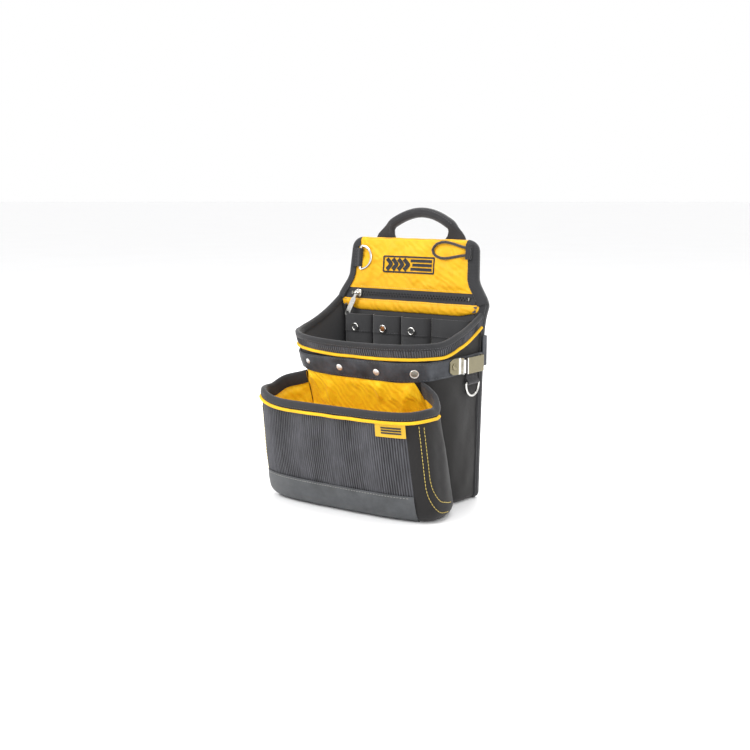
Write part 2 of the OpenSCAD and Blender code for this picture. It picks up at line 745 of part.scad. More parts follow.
// Puller: a knuckle round the bridge and a flat tilted blade with an oval ring end
module zip_puller() {
    color(nickel) on_panel() translate([slider_x, bridge_y, zip_mid]) difference() {
        union() {
            translate([-1.7, 0, 0]) rotate([0, 90, 0]) cylinder(h = 3.4, r = 1.9);
            rotate([0, puller_tilt, 0]) translate([0, 0.9, 0]) rotate([90, 0, 0])
                linear_extrude(1.3) difference() {
                    union() {
                        translate([-1.6, -puller_l + 6]) square([3.2, puller_l - 6]);
                        translate([0, -puller_l + 5]) circle(3.4);
                        translate([0, -puller_l + 2.6]) circle(3.4);
                        translate([-3.4, -puller_l + 2.6]) square([6.8, 2.4]);
                    }
                    translate([0, -puller_l + 5]) circle(1.7);
                    translate([0, -puller_l + 2.6]) circle(1.7);
                    translate([-1.7, -puller_l + 2.6]) square([3.4, 2.4]);
                }
        }
        translate([-6, 0, 0]) rotate([0, 90, 0]) cylinder(h = 12, r = bridge_r + 0.08);
    }
}

// ---------------------------------------------------------------- D rings

ring_half = ring_webbing / 2 + 1.2;
ring_reach = 17;

// A D ring with its straight bar on the Z axis and its bow towards +X
module d_ring() {
    r = ring_wire / 2;
    bow = ring_reach - r;
    cylinder(h = 2 * ring_half, r = r, center = true);
    for (s = [-1, 1]) translate([0, 0, s * ring_half]) {
        sphere(r);
        rotate([0, 90, 0]) cylinder(h = bow - ring_half, r = r);
    }
    translate([bow - ring_half, 0, 0]) rotate([90, 0, 0]) rotate([0, 0, -90])
        rotate_extrude(angle = 180) translate([ring_half, 0]) circle(r);
}

// Webbing folded round a ring's bar: the bar is on the Z axis and the tail runs to -X
module ring_tab(width, tail, layers_y) {
    r = ring_wire / 2 + 0.06;
    translate([0, 0, -width / 2]) linear_extrude(width) difference() {
        union() {
            circle(r + 1.2);
            translate([-tail, layers_y]) square([tail, 2.4]);
        }
        circle(r);
    }
}

upper_ring_x = -71;
upper_ring_y = -4.3;
upper_ring_z = 272;

module upper_d_ring() {
    color(nickel) on_panel() translate([upper_ring_x, upper_ring_y, upper_ring_z]) d_ring();
}

module upper_ring_tab() {
    color(black_cloth) on_panel() translate([upper_ring_x, upper_ring_y, upper_ring_z])
        ring_tab(ring_webbing - 3, 12, -0.9);
}

side_ring_y = 45;
side_ring_z = 140;

module side_ring_place() {
    translate([main_w(side_ring_z) + 5.2, side_ring_y, side_ring_z])
        rotate([90, 90, 0]) children();
}

module side_d_ring() {
    color(nickel) side_ring_place() d_ring();
}

module side_ring_tab() {
    color(black_cloth) side_ring_place() ring_tab(ring_webbing - 1, 8.6, -2.7);
}

// ---------------------------------------------------------------- tape clip

clip_t = 1.2;
clip_h = 18;
clip_stand = 6;
clip_foot = 18;              // length of the riveted foot
clip_drop = 2.4;             // how far the foot bends in, to lie on the strap
clip_end = 56;               // start of the rear foot
clip_d = 68;                 // distance of the clip's front end from the back panel

// A flat foot, a step out, a long raised plate and a return to a second foot
module tape_clip() {
    outer = clip_stand + clip_t;
    color(nickel) clip_place() linear_extrude(clip_h) polygon([
        [0, -clip_drop], [clip_foot, 0], [clip_foot, clip_stand], [clip_end, clip_stand],
        [clip_end, 0.9], [clip_end + 5, 0.9], [clip_end + 5, 0.9 + clip_t],
        [clip_end + clip_t, 0.9 + clip_t], [clip_end + clip_t, outer],
        [clip_foot - clip_t, outer], [clip_foot - clip_t, clip_t], [0, clip_t - clip_drop]]);
}

// Clip's frame: x runs back along the strap, y stands out from it
module clip_place() {
    translate([main_w(strap_z) + 6.9, back_y - clip_d, strap_z + side_lift + 1])
        rotate([0, 0, 89]) mirror([0, 1, 0]) children();
}

module clip_rivets() {
    slope = clip_drop / (clip_foot - clip_t);
    x = 7.5;
    color(nickel) clip_place()
        translate([x, clip_t - clip_drop + slope * x + 0.05, clip_h / 2])
            rotate([-90, 0, atan(slope)]) cap(4, 1.5);
}

// ---------------------------------------------------------------- elastic loop

// Route of the elastic cord in front of the panel: out of its tab and back into it
loop_route = [[75.4, -4.4, 287.5], [71, -4.5, 288.2], [66, -4.5, 289.4], [60, -4.4, 291],
              [54, -4.2, 292.4], [48, -4, 293.3], [42, -3.8, 293], [36, -3.6, 291],
              [32, -3.6, 287.6], [30.3, -3.6, 283.6], [32, -3.6, 279.6], [36, -3.6, 276.6],
              [42, -3.8, 274.8], [48, -4, 274.6], [54, -4.2, 275.4], [60, -4.4, 276.5],
              [66, -4.5, 277.6], [71, -4.5, 278.4], [75.4, -4.4, 278.8]];
loop_r = 1.6;

module cord_loop() {
    last = len(loop_route) - 1;
    function heading(i) = let (d = loop_route[min(last, i + 1)] - loop_route[max(0, i - 1)])
        [d[0], d[2]] / norm([d[0], d[2]]);
    color("#33302e") on_panel() rings([for (i = [0:last])
        let (h = i % last == 0 ? [i == 0 ? -1 : 1, 0] : heading(i), p = loop_route[i])
        [for (k = [0:7]) let (c = loop_r * cos(45 * k), s = loop_r * sin(45 * k))
            [p[0] - h[1] * c, p[1] - s, p[2] + h[0] * c]]]);
}

// Folded tab beside the binding that holds both ends of the cord
module loop_tab() {
    color(black_cloth) on_panel() translate([75.4, -6.4, 274]) cube([7, 3.7, 18.5]);
}

// ---------------------------------------------------------------- handle

leg_t = 3;
pivot_y = panel_t + 0.1 + hem_t + 0.4 + leg_t / 2;
pivot_z = panel_top + 4.5;
leg_h = 11;                  // height of the flat leg above the pivot
handle_x = 3;                // the handle sits a little to the right of the middle
anchor_h = 52;               // length sewn to the back, below the panel's top edge

// Sewn-down ends of the webbing on the back of the panel
module handle_anchors() {
    color(black_cloth) on_panel() for (s = [-1, 1])
        translate([handle_x + (s * leg_span - webbing_w) / 2, pivot_y - leg_t / 2,
                   panel_top - anchor_h])
            cube([webbing_w, leg_t, anchor_h + pivot_z - panel_top - leg_t / 2 - 0.3]);
}

// Flat legs from the pivot up to the folded grip, in the panel's frame
module legs() {
    mid = leg_span / 2;
    half = webbing_w / 2;
    for (s = [-1, 1])
        translate([handle_x, pivot_y + leg_t / 2, pivot_z]) rotate([90, 0, 0])
            linear_extrude(leg_t) polygon([for (p = [
                [mid + half, 0], [mid - half, 0], [mid - half + 3, leg_h - 8],
                [mid - 5, leg_h], [mid + half - 5, leg_h]]) [s * p[0], p[1]]]);
}

module handle_legs() {
    color(black_cloth) on_panel() legs();
}

grip_half_h = 5.4;           // half of the grip's height and depth at its middle
grip_half_d = 6.5;

// Half depth of the grip: it thins to the flat legs at both ends, so it can fold over the edge
function grip_depth(p) = mix(leg_t, grip_half_d, smooth(min(1, max(0, (75 - abs(p)) / 35))));

// Folded grip: an arch between the tops of the legs, which end inside its folds
function grip_mid(p) = [handle_x + leg_span / 180 * p + 0.03 * p,
    pivot_z + leg_h - 5 + (grip_rise - grip_half_h - leg_h + 0.5) * pow(cos(p), 0.85)];

module handle_grip() {
    steps = [for (p = [90:-9:-90]) p];
    last = len(steps) - 1;
    function heading(i) = let (d = grip_mid(steps[max(0, i - 1)])
                                 - grip_mid(steps[min(last, i + 1)])) d / norm(d);
    color(black_cloth) on_panel() difference() {
        rings([for (i = [0:last]) let (h = heading(i), p = grip_mid(steps[i]))
            [for (k = [0:9]) let (c = grip_half_h * cos(36 * k),
                                     s = grip_depth(steps[i]) * sin(36 * k))
                [p[0] - h[1] * c, pivot_y + s, p[1] + h[0] * c]]]);
        translate([-200, pivot_y - 50, pivot_z - 100]) cube([400, 100, 100 + leg_h - 7]);
        legs();
    }
}

// ---------------------------------------------------------------- what is drawn

back_cover();
back_foam();
back_stiffener();
back_lining();
panel_binding();
seam_binding();
belt_sleeve();
belt_sleeve_rivets();
main_wall();
main_lining();
main_base();
base_board();
floor_lining();
mouth_band();
mouth_binding();
mouth_piping();
inner_sleeves();
sleeve_hem();
sleeve_eyelets();
eyelet_washers();
rivet_strap();
strap_tails();
strap_rivets();
pocket_front();
pocket_gusset_right();
pocket_gusset_left();
pocket_base();
pocket_lining();
pocket_back_lining();
pocket_floor_lining();
kick_band();
pocket_binding();
pocket_piping();
tag_label();
yellow_panel();
badge_patch();
zip_tape_upper();
zip_tape_lower();
zip_teeth();
zip_stops();
zip_strip();
zip_bag();
zip_slider();
zip_puller();
upper_ring_tab();
upper_d_ring();
side_ring_tab();
side_d_ring();
tape_clip();
clip_rivets();
cord_loop();
loop_tab();
handle_anchors();
handle_legs();
handle_grip();
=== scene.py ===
import math

import bmesh
import bpy
import numpy as np
from mathutils import Matrix, Vector


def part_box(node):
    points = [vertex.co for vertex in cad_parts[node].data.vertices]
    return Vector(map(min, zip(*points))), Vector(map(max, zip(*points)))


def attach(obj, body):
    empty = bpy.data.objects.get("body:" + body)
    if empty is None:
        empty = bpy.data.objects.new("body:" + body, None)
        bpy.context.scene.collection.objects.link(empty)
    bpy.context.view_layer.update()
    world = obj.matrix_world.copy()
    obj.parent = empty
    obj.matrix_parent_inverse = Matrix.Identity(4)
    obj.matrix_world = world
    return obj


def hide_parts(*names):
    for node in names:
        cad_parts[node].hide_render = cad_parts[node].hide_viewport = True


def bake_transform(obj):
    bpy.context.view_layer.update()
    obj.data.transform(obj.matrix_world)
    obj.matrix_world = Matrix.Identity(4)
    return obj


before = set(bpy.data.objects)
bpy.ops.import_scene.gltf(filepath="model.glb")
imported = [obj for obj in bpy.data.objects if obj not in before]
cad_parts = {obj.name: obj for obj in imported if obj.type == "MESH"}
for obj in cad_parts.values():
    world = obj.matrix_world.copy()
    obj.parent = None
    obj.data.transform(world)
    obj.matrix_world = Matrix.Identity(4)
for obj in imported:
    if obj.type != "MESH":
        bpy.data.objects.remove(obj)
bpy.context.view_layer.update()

# The pouch's looks, built round its CAD frame. Surfaces are worked out in millimetres, with the
# same formulas as the CAD model, and every mesh is made in metres.
MM = 0.001

# ------------------------------------------------------------------ sizes, in millimetres
BACK_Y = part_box("back_lining")[0][1] / MM    # front face of the upright part of the back panel
PANEL_T = 8.0
PANEL_TOP = 296.0
BEND_Z = 215.0
LEAN = math.radians(6.5)
EAR_Z, WAIST_Z = 222.0, 256.0
EAR_HALF, WAIST_HALF, TOP_HALF = 104.0, 88.5, 86.0
SEAM_W = 2.3
CORNER_R, FOOT_R = 12.0, 7.0
CORNER_Z = PANEL_TOP - CORNER_R         # where the top corners begin
MAIN_HALF_W = 91.0
MAIN_BASE_D, MAIN_MOUTH_D = 62.0, 118.0
RIM_Z, RIM_RISE, SCOOP_D = 188.0, 36.0, 85.0
BELLY = 9.0                             # how far the main wall bulges at its rim
EDGE_R = 14.0                           # rounded base edge of the main pouch
POCKET_HALF_W = 113.5
POCKET_RIM_Z, POCKET_ROOT_Z = 123.0, 147.0
POCKET_EDGE_R = 15.0
KICK_Z = 32.0
STRAP_Z, STRAP_W, SIDE_LIFT = 149.0, 20.0, 2.5
WALL_T, LINING_T, TAPE_T, GAP = 1.8, 0.9, 1.2, 0.3
PIPING_R = 1.8
RIB_PITCH, RIB_H = 3.0, 0.42
MOUTH_BINDING_H, MOUTH_BAND_H = 7.0, 8.0
POCKET_BINDING_H = 9.0
LAYER_GAP = 0.2                         # between a wall and its lining
INNER = -WALL_T - LAYER_GAP - LINING_T  # offset of the lining's inner face from the wall's outer
SMOOTH = 40                             # degrees between faces that are shaded as one


# ------------------------------------------------------------------ surfaces


def ease(t):
    t = np.clip(t, 0, 1)
    return t * t * (3 - 2 * t)


def power(x, e):
    return np.sign(x) * np.abs(x) ** e


def unit(v):
    return v / np.linalg.norm(v, axis=-1, keepdims=True)


def distances(path):
    """How far along a path [point, xyz] each of its points is."""
    return np.concatenate([[0], np.cumsum(np.linalg.norm(np.diff(path, axis=0), axis=1))])


def waves(u, v, size, seed):
    """Smooth noise from -1 to 1, with features about size across."""
    r, count = np.random.RandomState(seed), 7
    total = 0
    for _ in range(count):
        t = r.uniform(0, 2 * math.pi)
        k = 2 * math.pi / (size * r.uniform(0.7, 1.6))
        total = total + np.sin(k * (u * math.cos(t) + v * math.sin(t)) + r.uniform(0, 6.3))
    return total / math.sqrt(count) / 1.6


def main_w(z):
    flare = EAR_HALF - SEAM_W - MAIN_HALF_W - 6.5
    return (MAIN_HALF_W + 0.022 * z + (z / 190) ** 3
            + flare * (np.maximum(0, z - 185) / (EAR_Z - 185)) ** 2)


def main_d(z):
    flare = MAIN_MOUTH_D - MAIN_BASE_D - 0.24 * RIM_Z
    return MAIN_BASE_D + 0.24 * z + flare * (np.maximum(0, z - 80) / (RIM_Z - 80)) ** 2


def main_at(a, z, off):
    """The main pouch's outer face, moved outwards by off. a is 0 at the right rear, 90 in front."""
    c, s = np.cos(np.radians(a)), np.maximum(0, np.sin(np.radians(a)))
    w, d = main_w(z), main_d(z)
    cx, sy = power(c, 0.5), s ** 0.5
    gx, gy = power(cx, 3) / w, -sy ** 3 / d
    g = np.hypot(gx, gy)
    belly = BELLY * z / RIM_Z
    return np.stack(np.broadcast_arrays((w + belly * sy) * cx + off * gx / g,
                                        BACK_Y - d * sy + off * gy / g, z + 0 * c), -1)


def main_face_y(x, z):
    share = 0 * z
    for _ in range(6):
        depth = np.maximum(0, 1 - share ** 4) ** 0.25
        share = np.minimum(1, np.abs(x) / (main_w(z) + BELLY * z / RIM_Z * depth))
    return BACK_Y - main_d(z) * np.maximum(0, 1 - share ** 4) ** 0.25


def rim_at(a):
    """Height of the rim: the right side climbs more evenly, and the left corner is higher."""
    d = MAIN_MOUTH_D * np.maximum(0, np.sin(np.radians(a))) ** 0.5
    c = np.cos(np.radians(a))
    right = 2.3 * c * np.clip(d / 70, 0, 1) - 8 * np.clip(1 - d / 52, 0, 1)
    left = -c * (2 + 6 * np.clip(d / 70, 0, 1))
    return (RIM_Z + RIM_RISE * np.maximum(0, 1 - d / SCOOP_D) ** 1.7
            + np.where(c > 0, right, left))


def main_edge(a):
    return EDGE_R * (0.5 + 0.5 * np.maximum(0, np.sin(np.radians(a))))


def pocket_w(z):
    return POCKET_HALF_W + 2.5 - 4 * (z / POCKET_RIM_Z) ** 2


REAR_A = 45.0


def pocket_at(a, z, off):
    """The front pocket's outer face. Below 0 and above 180 the gussets turn in to the main one."""
    c, s = np.cos(np.radians(a)), np.sin(np.radians(a))
    w = pocket_w(z)
    mid = BACK_Y - 99 - 0.15 * z
    rear = s < 0
    m = np.where(rear, 2.2, 3.2)
    k = math.cos(math.radians(REAR_A)) ** (2 / 2.2)
    d_rear = (main_face_y(w * k, z) - 2 - mid) / k
    d = np.where(rear, d_rear, mid - (BACK_Y - 134 - 0.33 * z + 0.00115 * z * z))
    e = 2 / m
    cx, sy = power(c, e), np.abs(s) ** e
    gx, gy = power(cx, m - 1) / w, np.where(rear, 1, -1) * sy ** (m - 1) / d
    g = np.hypot(gx, gy)
    return np.stack(np.broadcast_arrays(w * cx + off * gx / g,
                                        mid + np.where(rear, 1, -1) * d * sy + off * gy / g,
                                        z + 0 * c), -1)


def pocket_rim_at(a):
    c, s = np.abs(np.cos(np.radians(a))), np.maximum(0, -np.sin(np.radians(a)))
    turn = (s / math.sin(math.radians(REAR_A))) ** 1.2
    rise = np.where(s > 0, 3.0, 3 * c ** 6)
    rise = rise + 5.5 * ease((a - 112) / 45) * ease((224 - a) / 30)
    return POCKET_RIM_Z + rise + (POCKET_ROOT_Z - POCKET_RIM_Z - 3) * turn


def panel_at(x, z, y):
    """A point of the back panel: z is measured up its front face and y behind that face."""
    half = 7.0                                       # the bend is spread over twice this height
    t = np.clip((z - BEND_Z + half) / (2 * half), 0, 1)
    angle = LEAN * t
    over = np.maximum(0, z - BEND_Z - half)
    run = 2 * half * t
    back = run * np.sin(angle / 2) + over * math.sin(LEAN)
    up = np.minimum(z, BEND_Z - half) + run * np.cos(angle / 2) + over * math.cos(LEAN)
    return np.stack(np.broadcast_arrays(x + 0 * z, BACK_Y + back + y * np.cos(angle),
                                        up - y * np.sin(angle)), -1)


def panel_half(z):
    t = ease((z - EAR_Z) / (WAIST_Z - EAR_Z))
    upper = EAR_HALF + (WAIST_HALF - EAR_HALF) * t
    top = WAIST_HALF + (TOP_HALF - WAIST_HALF) * (z - WAIST_Z) / (PANEL_TOP - WAIST_Z)
    return np.where(z <= EAR_Z, main_w(z) + SEAM_W, np.where(z <= WAIST_Z, upper, top))


def panel_edge(z, m):
    """Half width of the panel with its corners rounded and its edge moved in by m."""
    top = np.sqrt(np.maximum(0, (CORNER_R - m) ** 2 - (z - CORNER_Z) ** 2))
    foot = np.sqrt(np.maximum(0, (FOOT_R - m) ** 2 - (FOOT_R - z) ** 2))
    half = panel_half(z)
    return np.where(z > CORNER_Z, half - CORNER_R + top,
                    np.where(z < FOOT_R, half - FOOT_R + foot, half - m))


def even(surface, a0, a1, step, z):
    """Angles from a0 to a1 whose points lie about step apart, and their distances along."""
    fine = np.linspace(a0, a1, 6001)
    run = distances(surface(fine, z + 0 * fine, 0))
    s = np.linspace(0, run[-1], int(math.ceil(run[-1] / step)) + 1)
    return np.interp(s, run, fine), s


# ------------------------------------------------------------------ meshes


def mesh_object(name, verts, faces, uvs=None, smooth=SMOOTH):
    me = bpy.data.meshes.new(name)
    me.from_pydata((np.asarray(verts, float) * MM).tolist(), [], faces)
    bm = bmesh.new()
    bm.from_mesh(me)
    bmesh.ops.recalc_face_normals(bm, faces=bm.faces)
    bm.to_mesh(me)
    bm.free()
    if uvs is not None:
        layer = me.uv_layers.new(name="UVMap")
        loop_verts = np.zeros(len(me.loops), np.int64)
        me.loops.foreach_get("vertex_index", loop_verts)
        layer.data.foreach_set("uv", np.asarray(uvs, float)[loop_verts].ravel())
    me.polygons.foreach_set("use_smooth", [True] * len(me.polygons))
    me.set_sharp_from_angle(angle=math.radians(smooth))
    me.validate()
    ob = bpy.data.objects.new(name, me)
    bpy.context.scene.collection.objects.link(ob)
    return ob


def part(loops, closed=False):
    """(verts, faces, uvs) of a skin through rings of points [ring, point, xyz]; its ends are
    capped unless it closes."""
    loops = np.asarray(loops, float)
    n, k = loops.shape[:2]
    ring = np.arange(k)
    after = (ring + 1) % k
    last = n if closed else n - 1
    faces = []
    for j in range(last):
        a, b = j * k, ((j + 1) % n) * k
        faces += np.stack([a + ring, b + ring, b + after, a + after], -1).tolist()
    if not closed:
        faces += cap_faces(k, 0, False) + cap_faces(k, (n - 1) * k, True)
    along = np.concatenate([[0], np.cumsum(np.linalg.norm(np.diff(loops, axis=0), axis=2)
                                           .mean(1))])
    around = np.concatenate([[0], np.cumsum(np.linalg.norm(np.diff(loops, axis=1), axis=2)
                                            .mean(0))])
    uvs = np.stack(np.broadcast_arrays(along[:, None], around[None, :]), -1).reshape(-1, 2) * MM
    return loops.reshape(-1, 3), faces, uvs


def cap_faces(k, base, flip):
    """A strip of faces across one end of a ring, which suits flat cloth sections."""
    faces = []
    lo, hi = 0, k - 1
    while hi - lo > 1:
        f = [base + lo, base + lo + 1, base + hi - 1, base + hi] if hi - lo > 2 else \
            [base + lo, base + lo + 1, base + hi]
        faces.append(f[::-1] if flip else f)
        lo, hi = lo + 1, hi - 1
    return faces


def joined(name, parts, smooth=SMOOTH):
    """One mesh from several (verts, faces, uvs) lists."""
    verts, faces, uvs, base = [], [], [], 0
    for v, f, t in parts:
        verts.append(np.asarray(v, float))
        uvs.append(np.asarray(t, float))
        faces += [[base + i for i in q] for q in f]
        base += len(v)
    return mesh_object(name, np.concatenate(verts), faces, np.concatenate(uvs), smooth)


def cloth(surface, a, z, out, thick, ribs=0):
    """Rings of a cloth wall: z is [station, row] from its foot up, out the outer offset. The
    ribs move the outer face alone."""
    aa = np.asarray(a, float)[:, None]
    z = np.broadcast_to(z, (len(a), np.shape(z)[-1]))
    outer = surface(aa, z, out + ribs)
    inner = surface(aa, z, out - thick)
    return np.concatenate([outer, inner[:, ::-1]], axis=1)


def wall_rows(edge_r, top, rows, arc=8, start=90):
    """Offsets, heights and normals [station, row] from a rounded base edge up to the rim."""
    edge_r = np.asarray(edge_r, float)[:, None]
    top = np.asarray(top, float)[:, None]
    p = np.radians(np.linspace(start, 0, arc, endpoint=False))[None, :]
    t = np.linspace(0, 1, rows + 1)[None, :]
    off = np.concatenate([edge_r * np.cos(p) - edge_r, 0 * t + 0 * edge_r], 1)
    z = np.concatenate([edge_r - edge_r * np.sin(p), edge_r + (top - edge_r) * t], 1)
    nx = np.concatenate([np.cos(p) + 0 * edge_r, 1 + 0 * t + 0 * edge_r], 1)
    nz = np.concatenate([-np.sin(p) + 0 * edge_r, 0 * t + 0 * edge_r], 1)
    return off, z, nx, nz


def wall(surface, a, u, edge_r, top, rows, out, thick, relief, ribs=0, **arc):
    """Rings of a wall with a rounded base edge. The relief moves both of its faces."""
    off, z, nx, nz = wall_rows(edge_r + 0 * a, top, rows, **arc)
    aa = a[:, None]
    o = out + relief(u[:, None], z)
    i = o - thick
    outer = surface(aa, z + nz * (o + ribs), off + nx * (o + ribs))
    inner = surface(aa, z + nz * i, off + nx * i)
    return np.concatenate([outer, inner[:, ::-1]], axis=1)


def binding_section(x_out, x_in, height, thick, puff=0.35):
    """(offset, height below the edge) round a tape folded over an edge: outside, then inside."""
    mid, top = (x_out + x_in) / 2, -(x_out - x_in) / 2

    def fold(grow):
        r = -top - grow
        side = np.linspace(-height, top, 5)[:-1]
        bulge = puff * np.sin(np.pi * (side + height) / (height + top))
        arc = np.radians(np.linspace(0, 180, 15))
        outer = [(mid + r + b, s) for b, s in zip(bulge, side)]
        over = [(mid + r * math.cos(t), top + r * math.sin(t)) for t in arc]
        inner = [(mid - r - b, s) for b, s in zip(bulge[::-1], side[::-1])]
        return np.array(outer + over + inner)
    return np.concatenate([fold(0), fold(thick)[::-1]])


def tube(path, radius, sides=12, closed=False, squash=1.0, up=(0, 0, 1)):
    """A round cord along a path [point, xyz]; its radius may change on the way."""
    path = np.asarray(path, float)
    d = unit(np.roll(path, -1, 0) - np.roll(path, 1, 0) if closed else np.gradient(path, axis=0))
    side = unit(np.cross(d, np.asarray(up, float)))
    other = np.cross(side, d)
    t = np.arange(sides) * 2 * math.pi / sides
    r = np.broadcast_to(radius, (len(path),))[:, None, None]
    return part(path[:, None, :] + r * np.cos(t)[None, :, None] * side[:, None, :]
                + r * squash * np.sin(t)[None, :, None] * other[:, None, :], closed)


def cap_points(centre, axis, profile):
    """A turned part: profile lists (radius, height) from its rim to its middle."""
    turn = np.array(Vector((0, 0, 1)).rotation_difference(Vector(axis).normalized()).to_matrix())
    sides = 28
    t = np.arange(sides) * 2 * math.pi / sides
    rows = [np.stack([r * np.cos(t), r * np.sin(t), h + 0 * t], -1) for r, h in profile]
    verts = np.concatenate(rows) @ turn.T + np.asarray(centre, float)
    ring, after = np.arange(sides), (np.arange(sides) + 1) % sides
    faces = []
    for j in range(len(profile) - 1):
        a, b = j * sides, (j + 1) * sides
        faces += np.stack([a + ring, a + after, b + after, b + ring], -1).tolist()
    faces.append((ring[::-1]).tolist())
    faces.append((ring + (len(profile) - 1) * sides).tolist())
    return verts, faces, np.concatenate([r[:, :2] for r in rows]) * MM


def dome(r, h, lip=0.35):
    """Profile of a rivet cap: a thin lip and a round crown."""
    crown = [(r * 0.93 * math.cos(t), lip + (h - lip) * math.sin(t))
             for t in np.radians([0, 15, 30, 45, 60, 75, 86])]
    return [(r * 0.97, 0), (r, lip * 0.4), (r * 0.985, lip)] + crown


def stitch_row(path, normal, pitch=3.2, length=2.3, radius=0.28, lift=0.1):
    """Threads along a path [point, xyz] on a face with normals [point, xyz]."""
    path, normal = np.asarray(path, float), np.broadcast_to(normal, np.shape(path))
    run = distances(path)
    count = max(1, int(run[-1] // pitch))
    start = (run[-1] - count * pitch) / 2 + np.arange(count) * pitch + (pitch - length) / 2
    x = np.linspace(0, 1, 6)
    s = start[:, None] + length * x[None, :]
    p, n = (np.stack([np.interp(s, run, along[:, i]) for i in range(3)], -1)
            for along in (path, normal))
    n = unit(n)
    b = np.cross(unit(np.gradient(p, axis=1)), n)
    rise = lift + radius * (1 - 1.6 * np.abs(2 * x - 1) ** 3)
    r = radius * np.sqrt(np.clip(1.08 - (2 * x - 1) ** 2, 0.08, 1))
    k, m = 6, len(x)                                  # sides of a thread, and its rings
    t = np.arange(k) * 2 * math.pi / k
    centre = p + n * rise[None, :, None]
    rings = (centre[:, :, None, :]
             + (r[:, None] * np.cos(t))[None, :, :, None] * b[:, :, None, :]
             + (r[:, None] * np.sin(t))[None, :, :, None] * n[:, :, None, :])
    ring, after = np.arange(k), (np.arange(k) + 1) % k
    one = []
    for j in range(m - 1):
        one += np.stack([j * k + ring, (j + 1) * k + ring, (j + 1) * k + after,
                         j * k + after], -1).tolist()
    one += [ring.tolist(), (ring[::-1] + (m - 1) * k).tolist()]
    faces = [[q + i * m * k for q in f] for i in range(count) for f in one]
    uv = np.stack(np.broadcast_arrays(s[:, :, None], r[None, :, None] * t[None, None, :]), -1)
    return rings.reshape(-1, 3), faces, uv.reshape(-1, 2) * MM


def on_surface(surface, a, z, off):
    """Points and outward normals of a line on a surface."""
    p = surface(a, z, off)
    return p, unit(surface(a, z, off + 1.0) - p)


def plate(name, outlines, depth, bevel):
    """A flat part with rounded edges from closed outlines; the first is outside, the rest holes.
    It lies in XY, and is centred on Z = 0."""
    cu = bpy.data.curves.new(name, "CURVE")
    cu.dimensions, cu.fill_mode = "2D", "BOTH"
    cu.extrude, cu.bevel_depth, cu.bevel_resolution = (depth / 2 - bevel) * MM, bevel * MM, 3
    for line in outlines:
        sp = cu.splines.new("POLY")
        sp.points.add(len(line) - 1)
        for q, (x, y) in zip(sp.points, line):
            q.co = (x * MM, y * MM, 0, 1)
        sp.use_cyclic_u = True
    cu.offset = -bevel * MM
    tmp = bpy.data.objects.new(name + "_curve", cu)
    bpy.context.scene.collection.objects.link(tmp)
    bpy.context.view_layer.update()
    me = bpy.data.meshes.new_from_object(tmp.evaluated_get(
        bpy.context.evaluated_depsgraph_get()))
    bpy.data.objects.remove(tmp)
    me.name = name
    me.polygons.foreach_set("use_smooth", [True] * len(me.polygons))
    me.set_sharp_from_angle(angle=math.radians(35))
    ob = bpy.data.objects.new(name, me)
    bpy.context.scene.collection.objects.link(ob)
    return ob


def rounded(points, r):
    """A closed outline with its corners rounded by r, or by a radius for each corner."""
    pts = [np.array(p, float) for p in points]
    radii = r if hasattr(r, "__len__") else [r] * len(pts)
    out = []
    for i, p in enumerate(pts):
        a, b = pts[i - 1] - p, pts[(i + 1) % len(pts)] - p
        la, lb = np.linalg.norm(a), np.linalg.norm(b)
        a, b = a / la, b / lb
        half = math.acos(np.clip(a @ b, -1, 1)) / 2
        if half > 1.55:                               # all but straight
            out.append(tuple(p))
            continue
        cut = min(radii[i] / math.tan(half), 0.48 * la, 0.48 * lb)
        rr = cut * math.tan(half)
        centre = p + (a + b) / np.linalg.norm(a + b) * rr / math.sin(half)
        s, e = p + a * cut - centre, p + b * cut - centre
        t0, t1 = math.atan2(s[1], s[0]), math.atan2(e[1], e[0])
        turn = (t1 - t0 + math.pi) % (2 * math.pi) - math.pi
        for q in np.linspace(0, 1, 6):
            t = t0 + turn * q
            out.append((centre[0] + rr * math.cos(t), centre[1] + rr * math.sin(t)))
    return out


# ------------------------------------------------------------------ cloth simulation

FRAMES = 24                             # how long the cloth may settle


